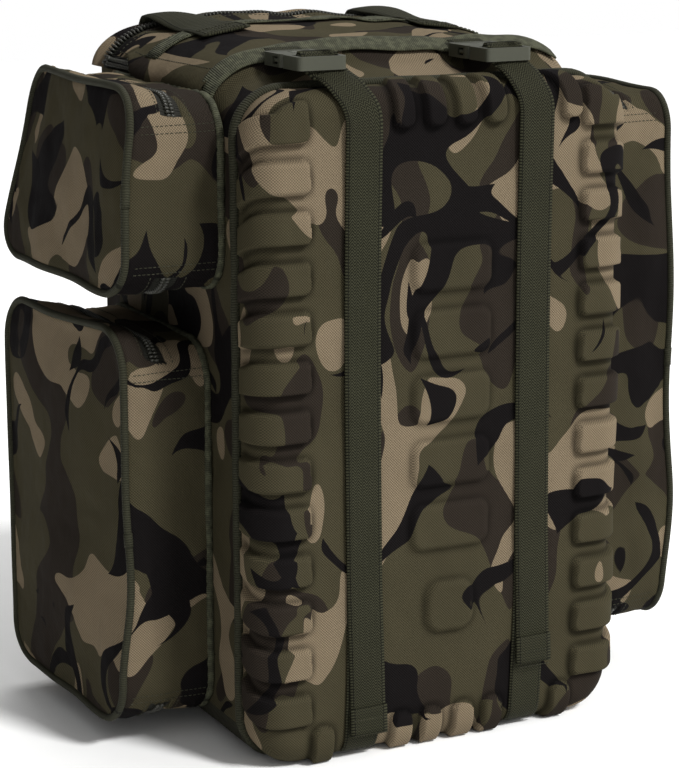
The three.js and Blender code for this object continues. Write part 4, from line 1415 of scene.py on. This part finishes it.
def lean(path, strap):
    """Bends the top of a strap sideways to its buckle."""
    plug_low, plug_high = span(strap + "_buckle_plug")
    buckle_x = (plug_low[0] + plug_high[0]) / 2
    t = np.clip((path[:, 2] - LEAN_FROM_Z) / (590.5 - LEAN_FROM_Z), 0, 1)
    path[:, 0] += (buckle_x - STRAPS[strap]["x"]) * t * t
    return path


def strap_path(strap, spine):
    path = np.array([[STRAPS[strap]["x"], y, z] for y, z in spine])
    path = resample(path, 5.0)
    path[:, 0] += 1.3 * np.sin(path[:, 2] / 95 + STRAPS[strap]["x"])
    return lean(path, strap)


def outward(path):
    """Normals of a strap in the side view, pointing away from the bag."""
    along = tangents(path)
    normal = np.cross(along, np.array([1.0, 0, 0]))
    return unit(normal * -np.sign(normal[:, 1:2] + 1e-9))


def build_strap(strap):
    tail_end = STRAPS[strap]["tail_end"]
    body = strap + "_buckle"
    plug_low, plug_high = span(body + "_plug")
    bar_y, bar_z = plug_low[1] + 2.0, (plug_low[2] + plug_high[2]) / 2
    # Side view of the tail's way round the plug's bar, and of the layer under it.
    around = [(bar_y - 11.0, bar_z - 15.5), (bar_y - 2.0, bar_z - 9.6), (bar_y + 3.2, bar_z - 6.6),
              (bar_y + 5.2, bar_z - 1.5), (bar_y + 5.8, bar_z + 5.4), (bar_y + 8.4, bar_z + 8.6),
              (bar_y + 13.4, bar_z + 8.8), (bar_y + 16.0, bar_z + 6.0), (bar_y + 16.4, bar_z)]
    under_loop = [(bar_y - 10.0, bar_z - 17.5), (bar_y - 1.0, bar_z - 11.6),
                  (bar_y + 4.0, bar_z - 9.0)]
    lower = strap_path(strap, strap_spine(0) + under_loop)
    upper_spine = [(y, z) for y, z in strap_spine(LAYER + 0.2) if z > tail_end - 12]
    upper = strap_path(strap, upper_spine + around)
    upper = upper[upper[:, 2] >= tail_end]
    lower[:, 0] -= 3.0 * smoothstep(tail_end + 70, tail_end - 60, lower[:, 2])
    upper[:, 0] += 3.5 * smoothstep(tail_end + 160, tail_end, upper[:, 2])
    upper[:, 1] -= 1.4 * smoothstep(tail_end + 45, tail_end, upper[:, 2])
    strip = ribbon(lower, outward(lower), STRAP_WIDTH - 1.5, LAYER)
    under = woven_piece(strap + "_strap_lower_layer", strip, None, WEBBING)
    flare = 1 + 0.05 * smoothstep(tail_end + 22, tail_end, upper[:, 2])
    strip = ribbon(upper, outward(upper), STRAP_WIDTH * flare, LAYER)
    over = woven_piece(strap + "_strap_tail", strip, None, WEBBING,
                       [strap + "_front_strap", strap + "_strap_loop"])
    for piece in (under, over):
        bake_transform(piece, "shell", body, (0, -0.165, 0.560), (0, -0.152, 0.585))
    fold = upper[:6] + outward(upper)[:6] * (LAYER * 0.95)
    woven_piece(strap + "_strap_tail_fold", ribbon(fold, outward(fold), STRAP_WIDTH * 1.05, LAYER),
                "shell", WEBBING)
    lines = []
    for height in (5.5, 19.0):
        z = tail_end + height
        x, y = (float(np.interp(z, upper[:, 2], upper[:, k])) for k in (0, 1))
        lines.append((level_line(x, y - 1.5 * LAYER, z, STRAP_WIDTH / 2 - 2.5), outward(upper)[3]))
    stitches(strap + "_strap_tail_stitching", lines, "shell", length=2.2, pitch=3.0)


def bevelled(node, material, width=0.9):
    """A hard CAD node carried over, with its edges softened and a moulded finish."""
    part = frame["nodes"][node]
    part.data.materials.clear()
    part.data.materials.append(material.material)
    bevel = part.modifiers.new("soft_edges", "BEVEL")
    bevel.width = width * MM
    bevel.segments = 2
    bevel.limit_method = "ANGLE"
    bevel.angle_limit = math.radians(35)


def build_buckle(strap):
    body = strap + "_buckle"
    bevelled(body + "_plug", PLASTIC, 0.9)
    bevelled(body + "_socket", PLASTIC, 1.3)
    low, high = span(body + "_socket")
    middle = (low + high) / 2
    pads = []
    for side in SIDES:
        foot = np.array([[middle[0] + side * 20.6, low[1] + 12.0, middle[2]]])
        pads.append(small_blocks(foot, np.array([[0.0, 1.0, 0.0]]),
                                 np.array([[side * 1.0, 0, 0]]), 15, 6.0, 3.4))
    woven_piece(body + "_release_pads", joined(pads), body, PLASTIC, levels=1)
    ribs = np.array([[middle[0], low[1] + y, high[2]] for y in (9, 12, 15, 18, 21)])
    along, up = np.tile([1.0, 0, 0], (5, 1)), np.tile([0, 0, 1.0], (5, 1))
    points, faces, _ = small_blocks(ribs, along, up, 22, 1.3, 1.1)
    make_piece(body + "_grip_ribs", points, faces, owner(body + "_socket"), PLASTIC, levels=1)
    path = [[middle[0], high[1] - 6, middle[2] - 1], [middle[0], high[1] + 1.5, middle[2] + 3.0],
            [middle[0], high[1] + 5, middle[2] + 5.2], [middle[0], HINGE_Y - 2, middle[2] + 6.6]]
    woven_piece(body + "_tab_webbing", ribbon(smooth_path(path, 2.0), (0, 0, 1), STRAP_WIDTH, 1.6),
                "shell", WEBBING, [body + "_tab"])


def owner(node):
    """The body that a CAD node rides on."""
    return body_of(frame["nodes"][node])[0]


# ---------------------------------------------------------------- carry handle
GRIP_RADIUS = 8.0


def leg_path(x):
    """From the patch sewn on the lid, over the zip and down behind the back to the grip."""
    sewn = [top_point(x, y)[None][0] + [0, 0, 2.6] for y in (24, 34, 44, 54)]
    rise = topside(x)
    free = [[x, 74, 611.5 + rise], [x, 98, 613.5 + rise], [x, 125, 616 + rise],
            [x, 150, 617 + rise], [x, 168, 613.5 + rise], [x, 179, 603 + rise],
            [x, 184.5, 590], [x, 187.5, 579], [x, 193, 571]]
    return smooth_path(sewn + free, 4.0)


def topside(x):
    """How much higher the lid is at x than at the middle."""
    return float(top_point(x, 60)[2] - top_point(0.0, 60)[2])


def top_slope(x):
    """Rise of the lid towards +X, averaged over a handle leg's width."""
    return (top_point(x + 18.0, 60)[2] - top_point(x - 18.0, 60)[2]) / 36


def build_handle():
    for x, word in ((-112, "left"), (99, "right")):
        path = leg_path(float(x))
        along = tangents(path)
        up = np.cross(np.array([1.0, 0, 0]), along)
        width = 44 - 4 * smoothstep(130, 188, path[:, 1]) + 1.5 * np.sin(path[:, 1] / 17)
        tilt = np.array([-top_slope(x), 0, 0])
        up = unit(up + tilt * smoothstep(150, 90, path[:, 1])[:, None])
        points, faces, weave = ribbon(path, up, width, 2.4, 11)
        sag = smoothstep(60, 85, points[:, 1]) * smoothstep(176, 150, points[:, 1])
        points[:, 2] -= 3.0 * sag * ((points[:, 0] - x) / 22) ** 2
        leg = woven_piece(f"handle_leg_{word}_webbing", (points, faces, weave), None,
                          WIDE_WEBBING, [f"handle_leg_{word}"])
        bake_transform(leg, "lid", "carry_handle", (0, 0.048, 0.608), (0, 0.064, 0.608))
        stitch_patch(word, float(x), path)
    build_grip()


def stitch_patch(word, x, path):
    """A sewn square with a cross in it, over the foot of a handle leg."""
    def on_leg(dx, y):
        z = float(np.interp(y, path[:, 1], path[:, 2]))
        return [x + dx, y, z + dx * top_slope(x) + 1.5]

    half, front, rear = 18.5, 27.0, 46.0
    corners = [(-half, front), (half, front), (half, rear), (-half, rear)]
    pairs = [(0, 1), (1, 2), (2, 3), (3, 0), (0, 2), (1, 3)]
    lines = [(np.array([on_leg(*corners[a]), on_leg(*corners[b])]), (0, 0, 1)) for a, b in pairs]
    stitches(f"handle_leg_{word}_stitching", lines, "lid", length=2.4, pitch=3.4)


def build_grip():
    low, high = span("handle_grip")
    middle = (low + high) / 2
    x = np.linspace(low[0], high[0], 90)
    end = np.minimum(x - low[0], high[0] - x)
    taper = np.sqrt(np.clip(end / 9, 0.02, 1))
    waist = 1 - 0.05 * np.cos((x - middle[0]) / (high[0] - low[0]) * 6 * math.pi)
    path = np.stack([x, np.full(len(x), middle[1]), middle[2] + 1.2 * np.sin(x / 60)], 1)
    roll = tube(path, GRIP_RADIUS * taper * waist, 20, flatten=1.45)
    grip = woven_piece("handle_grip_pad", roll, "carry_handle", BACK_CLOTH, ["handle_grip"])
    seam = path[6:-6] + np.array([0, GRIP_RADIUS + 0.2, 0])
    stitches("handle_grip_stitching", [(seam, (0, 1, 0))], "carry_handle")
    for side, at in ((-1, low[0] + 7), (1, high[0] - 7)):
        ring = np.array([[at, middle[1] + 8.3 * math.cos(a), middle[2] + 12.2 * math.sin(a)]
                         for a in np.linspace(0, 2 * math.pi, 40, endpoint=False)])
        out = unit(ring - np.array([at, middle[1], middle[2]]))
        woven_piece(f"handle_grip_{side_word(side)}_binding",
                    ribbon(ring, out, 9.0, 1.6, 7, closed=True), "carry_handle", BINDING)


# ---------------------------------------------------------------- storm flap over the left zip
def build_storm_flap():
    """A narrow fabric flap on the lid's left edge that hangs over the zip's side run."""
    stations = np.linspace(-67, 104, 58)
    fold_z = 583       # below this the flap gets shorter towards its rear end
    profile = [(585.5, 0.9), (581, 2.0), (575, 4.6), (568, 5.4), (562, 4.6), (557.5, 3.2)]
    rows = []
    for y in stations:
        line = arch_point(np.full(80, float(y)), np.linspace(math.pi, math.pi / 2, 80))
        line = np.concatenate([[[-HALF_WIDTH, y, 0.0]], line])
        short = smoothstep(104, 72, y)
        row = []
        for z, off in profile:
            z = fold_z - (fold_z - z) * (0.25 + 0.75 * short) if z < fold_z else z
            x = float(np.interp(z, line[:, 2], line[:, 0]))
            row.append([x - off, y, z + float(top_sag(np.array([x]), y)[0])])
        rows.append(row)
    points = np.array(rows).reshape(-1, 3)
    points[:, 0] -= 0.9 * (1 + Ripple(61, 40)(points)) * smoothstep(584, 566, points[:, 2])
    faces = facing(points, grid_faces(len(stations), len(profile)), (-1, 0, 0))
    normals = point_normals(points, faces)
    whole_sheet("lid_storm_flap", points, faces, "lid", CAMO, (), 1.6, (80, 140, -35))
    grid = np.arange(len(points)).reshape(len(stations), len(profile))
    lines = [(points[grid[2:-2, k]], normals[grid[2:-2, k]]) for k in (1, 4)]
    stitches("lid_storm_flap_stitching", lines, "lid")


# ---------------------------------------------------------------- back pads and harness
CUSHION_CORNER = 24.0
CUSHION_EDGE = 9.0
CUSHION_ROOM = 4.0     # depth left free for the swelling
CUSHION_PRESSURE = 4.0
CUSHION_SWELL = 6.0


class Cushion:
    """A quilted pad on the back wall: held at its rim and along its sewn channels."""

    def __init__(self, node, channels):
        self.node = node
        self.low, self.high = span(node)
        self.middle = (self.low + self.high) / 2
        half = (self.high - self.low) / 2
        depth = self.high[1] - self.low[1] - CUSHION_ROOM
        self.channels = [self.low[2] + (self.high[2] - self.low[2]) * share for share in channels]
        self.coarse, self.fine = (
            RimBox(half[0], half[2], CUSHION_CORNER, CUSHION_EDGE, depth, spacing)
            for spacing in (7.0, 3.4))

    def place(self, box):
        return np.stack([self.middle[0] + box.across, self.low[1] + box.out,
                         self.middle[2] + box.up], 1)

    def from_channel(self, z):
        """Distance to the nearest sewn channel."""
        if not self.channels:
            return np.full(len(z), 1e3)
        return np.min([np.abs(z - channel) for channel in self.channels], 0)

    def job(self):
        """The coarse sheet for inflate(), held at its rim and its channels."""
        points = self.place(self.coarse)
        held = (self.coarse.q < 1) | (self.from_channel(points[:, 2]) < 3.6)
        return points, self.coarse.faces[:, ::-1], held, CUSHION_PRESSURE, CUSHION_SWELL

    def build(self, moved):
        box = self.fine
        faces = box.faces[:, ::-1]
        points = self.place(box) + carry_over(self.coarse, moved - self.place(self.coarse), box)
        normals = point_normals(points, faces)
        inside = smoothstep(6, 16, box.q)
        groove = np.exp(-(self.from_channel(points[:, 2]) / 3.2) ** 2) * inside
        seed = 90 + len(self.node)
        crease = 0.5 * Ripple(seed, 26)(points) * inside
        points = points + normals * (crease - 2.6 * groove)[:, None]
        points[:, 1] = np.maximum(points[:, 1], BACK_Y + 0.3)
        solid, solid_faces, _ = thicken(points, faces, 0.1)
        count = len(points)
        solid[count:, 1] = np.minimum(solid[count:, 1], self.low[1] + 0.2)
        pad = make_piece(self.node + "_cushion", solid, solid_faces, "shell", AIR_MESH,
                         [self.node])
        cord = resample(points[box.ring(0)] + [0, 2.2, 0], 5.0, True)
        woven_piece(self.node + "_binding", tube(cord, 2.4, 8, True, up=(0, 1, 0)), "shell",
                    BINDING)
        for k, channel in enumerate(self.channels):
            x = np.linspace(self.low[0] + 14, self.high[0] - 14, 60)
            near = np.abs(points[:, 2][None] - channel) + np.abs(points[:, 0][None] - x[:, None])
            y = points[:, 1][near.argmin(1)]
            line = np.stack([x, y + 0.4, np.full(60, channel)], 1)
            stitches(f"{self.node}_channel_{k}", [(line, (0, 1, 0))], "shell")


SHOULDER_EDGE = [(48, 528), (44, 470), (46, 400), (58, 320), (78, 250), (90, 222)]
SHOULDER_WIDTH = [62, 66, 68, 62, 46, 36]


def padded_band(path, up, width, thickness, columns=15, ends=8):
    """A stuffed strap: full in the middle, thin at its edges and rounded at its ends."""
    points, faces, weave = ribbon(path, up, width, thickness, columns, edge=0.3)
    ring = 2 * columns
    s = np.tile(np.concatenate([np.linspace(-1, 1, columns), np.linspace(1, -1, columns)]),
                len(path))
    fullness = np.clip(1 - np.abs(s) ** 4, 0.12, 1) ** 0.5
    row = np.repeat(np.arange(len(path)), ring)
    from_end = np.minimum(row, len(path) - 1 - row)
    fullness *= np.clip(from_end / ends, 0.1, 1) ** 0.35
    centre = np.repeat(path, ring, axis=0)
    up = np.broadcast_to(unit(np.array([up], float)), points.shape)
    lift = ((points - centre) * up).sum(1)
    return points + up * (lift * (fullness - 1))[:, None], faces, weave


def build_shoulder_strap(side):
    word = side_word(side)
    low, high = span(word + "_shoulder_strap")
    y = (low[1] + high[1]) / 2
    centre = [[side * (x + w / 2), y, z] for (x, z), w in zip(SHOULDER_EDGE, SHOULDER_WIDTH)]
    path = smooth_path(centre, 5.0)
    z = np.array([p[1] for p in SHOULDER_EDGE])[::-1]
    width = np.interp(path[:, 2], z, np.array(SHOULDER_WIDTH)[::-1]) * 0.97
    points, faces, weave = padded_band(path, (0, 1, 0), width, high[1] - low[1] - 0.8)
    points[:, 1] += 0.35 * Ripple(71, 30)(points)
    band = woven_piece(word + "_shoulder_strap_pad", (points, faces, weave), "shell", AIR_MESH,
                       [word + "_shoulder_strap"])
    across = np.cross(tangents(path), np.array([0, 1.0, 0])) * (width / 2)[:, None]
    rails = [tube(path + across * hand, 2.3, up=(0, 1, 0)) for hand in (-1, 1)]
    woven_piece(word + "_shoulder_strap_binding", joined(rails), "shell", BINDING)
    spine = path[4:] + np.array([0, high[1] - y - 0.6, 0])
    woven_piece(word + "_shoulder_strap_webbing", ribbon(spine, (0, 1, 0), 25, 1.4, 7), "shell",
                NARROW_WEBBING)
    anchor_low, anchor_high = span(word + "_webbing_anchor")
    anchor_x = (anchor_low[0] + anchor_high[0]) / 2
    lock_low, lock_high = span(word + "_strap_adjuster")
    lock_x = (lock_low[0] + lock_high[0]) / 2
    web_y = span(word + "_lower_webbing")[0][1] + 1.0
    run = smooth_path([[lock_x, web_y, lock_low[2] + 8], [lock_x, web_y, lock_low[2] - 4],
                       [(lock_x + anchor_x) / 2, web_y + 1.5, 152],
                       [anchor_x, web_y, anchor_high[2] + 6],
                       [anchor_x, web_y, anchor_low[2] + 12]], 4.0)
    woven_piece(word + "_lower_strap", ribbon(run, (0, 1, 0), 25, 1.6, 7), "shell", NARROW_WEBBING,
                [word + "_lower_webbing"])
    build_anchor(word, anchor_low, anchor_high)
    bevelled(word + "_strap_adjuster", PLASTIC, 0.8)


def build_anchor(word, low, high):
    """A folded fabric wing sewn into the back wall, holding the lower webbing."""
    x = (low[0] + high[0]) / 2
    path = [[x, low[1] + 1, low[2] + 2], [x, high[1] - 6, low[2] + 4],
            [x, high[1] - 2, low[2] + 12], [x, high[1] - 1.2, high[2] - 2]]
    wing = padded_band(smooth_path(path, 2.5), (0, 1, 0.2), 29.0, 4.4, 11, 2)
    woven_piece(word + "_anchor_wing", wing, "shell", BACK_CLOTH, [word + "_webbing_anchor"])
    lines = [(level_line(x, high[1] + 1.2, z, 11), (0, 1, 0)) for z in (low[2] + 14, high[2] - 6)]
    stitches(word + "_anchor_stitching", lines, "shell", length=2.2, pitch=3.0)


def build_yoke():
    low, high = span("strap_yoke")
    middle, half = (low + high) / 2, (high - low) / 2
    path = [[0, middle[1], z] for z in np.linspace(low[2] + 0.5, high[2] - 0.5, 14)]
    cover = padded_band(np.array(path), (0, 1, 0), 2 * half[0] - 2, 4.8, 61, 2)
    woven_piece("strap_yoke_cover", cover, "shell", BACK_CLOTH, ["strap_yoke"])
    lines = [(level_line(middle[0], high[1], z, half[0] - 5), (0, 1, 0))
             for z in (low[2] + 4, high[2] - 4)]
    stitches("strap_yoke_stitching", lines, "shell")


# ---------------------------------------------------------------- small hard parts
def build_hardware():
    for name in (*POCKETS, "main_zip"):
        bevelled(name + "_slider", METAL, 0.6)
        bevelled(name + "_pull", METAL, 0.5)
    bevelled("base_board", BOARD, 0.8)
    bevelled("frame_sheet", BOARD, 0.6)


CHANNELS = {"back_pad_left": (0.17, 0.34, 0.5, 0.66, 0.83),
            "back_pad_right": (0.17, 0.34, 0.5, 0.66, 0.83), "lumbar_pad": (0.5,)}


def build_bag():
    pockets = [Pocket(name) for name in POCKETS]
    cushions = [Cushion(node, channels) for node, channels in CHANNELS.items()]
    moved = inflate([soft.job() for soft in pockets + cushions])
    for pocket, points in zip(pockets, moved):
        build_pocket(pocket, points)
    for cushion, points in zip(cushions, moved[len(pockets):]):
        cushion.build(points)
    build_top()
    build_storm_flap()
    build_bindings()
    for side in SIDES:
        build_wall(side)
    build_back_and_base()
    for strap in STRAPS:
        build_strap(strap)
        build_buckle(strap)
    build_handle()
    for side in SIDES:
        build_shoulder_strap(side)
    build_yoke()
    build_hardware()


build_bag()


# ---------------------------------------------------------------- stage
def build_camera(scene):
    camera = bpy.data.objects.new("camera", bpy.data.cameras.new("camera"))
    camera.data.lens = 109.46
    camera.data.sensor_width = 36
    camera.location = (-0.9483, -1.8327, 0.7685)
    camera.rotation_euler = (math.radians(90 - 13.22), 0, math.radians(-27))
    scene.collection.objects.link(camera)
    scene.camera = camera


def build_world(scene):
    """A white studio: full white to the camera, and as a light brightest from the front left."""
    world = bpy.data.worlds.new("studio")
    world.use_nodes = True
    background = world.node_tree.nodes["Background"]
    background.inputs["Color"].default_value = (1, 1, 1, 1)
    studio = Nodes(world.node_tree)
    axes = studio.node("SeparateXYZ", Vector=studio.node("TexCoord").outputs["Generated"])
    rearward = studio.math("MULTIPLY_ADD", axes.outputs["X"], -0.8, axes.outputs["Y"])
    glow = studio.node("MapRange", Value=rearward, From_Min=-0.6, From_Max=0.6, To_Min=0.72,
                       To_Max=0.12)
    level = studio.node("MapRange", Value=studio.node("LightPath").outputs["Is Camera Ray"],
                        To_Min=glow.outputs["Result"], To_Max=1.0)
    studio.feed(background.inputs["Strength"], level.outputs["Result"])
    scene.world = world
    scene.view_settings.view_transform = "Standard"


def build_light(scene, light, place, aim, power):
    light.energy = power
    lamp = bpy.data.objects.new(light.name, light)
    lamp.location = place
    lamp.rotation_euler = (Vector(aim) - Vector(place)).to_track_quat("-Z", "Y").to_euler()
    scene.collection.objects.link(lamp)


def build_floor(scene):
    size = 6.0
    mesh = bpy.data.meshes.new("floor")
    mesh.from_pydata([(-size, -size, 0), (size, -size, 0), (size, size, 0), (-size, size, 0)],
                     [], [(0, 1, 2, 3)])
    floor = bpy.data.objects.new("floor", mesh)
    floor.location = (0, 0, -0.001)
    paper = Finish("paper", "floor", roughness=0.9)
    grain = paper.noise(paper.node("TexCoord").outputs["Object"], 40.0, 3.0)
    paper.finish(paper.mix(grain, tone(248, 248, 247), tone(252, 252, 251)), grain, 0.02)
    mesh.materials.append(paper.material)
    scene.collection.objects.link(floor)


def build_stage():
    scene = bpy.context.scene
    build_camera(scene)
    build_world(scene)
    sun = bpy.data.lights.new("key", "SUN")
    sun.angle = 0.2
    build_light(scene, sun, (1.0, -2.0, 2.5), (0, -0.1, 0.25), 3.1)
    for name, place, aim, power in (("side", (2.2, -1.6, 1.4), (0, 0, 0.3), 14),
                                    ("rear", (0.4, 1.6, 3.0), (0, 0, 0.2), 40)):
        panel = bpy.data.lights.new(name, "AREA")
        panel.size = 1.4
        build_light(scene, panel, place, aim, power)
    build_floor(scene)


build_stage()
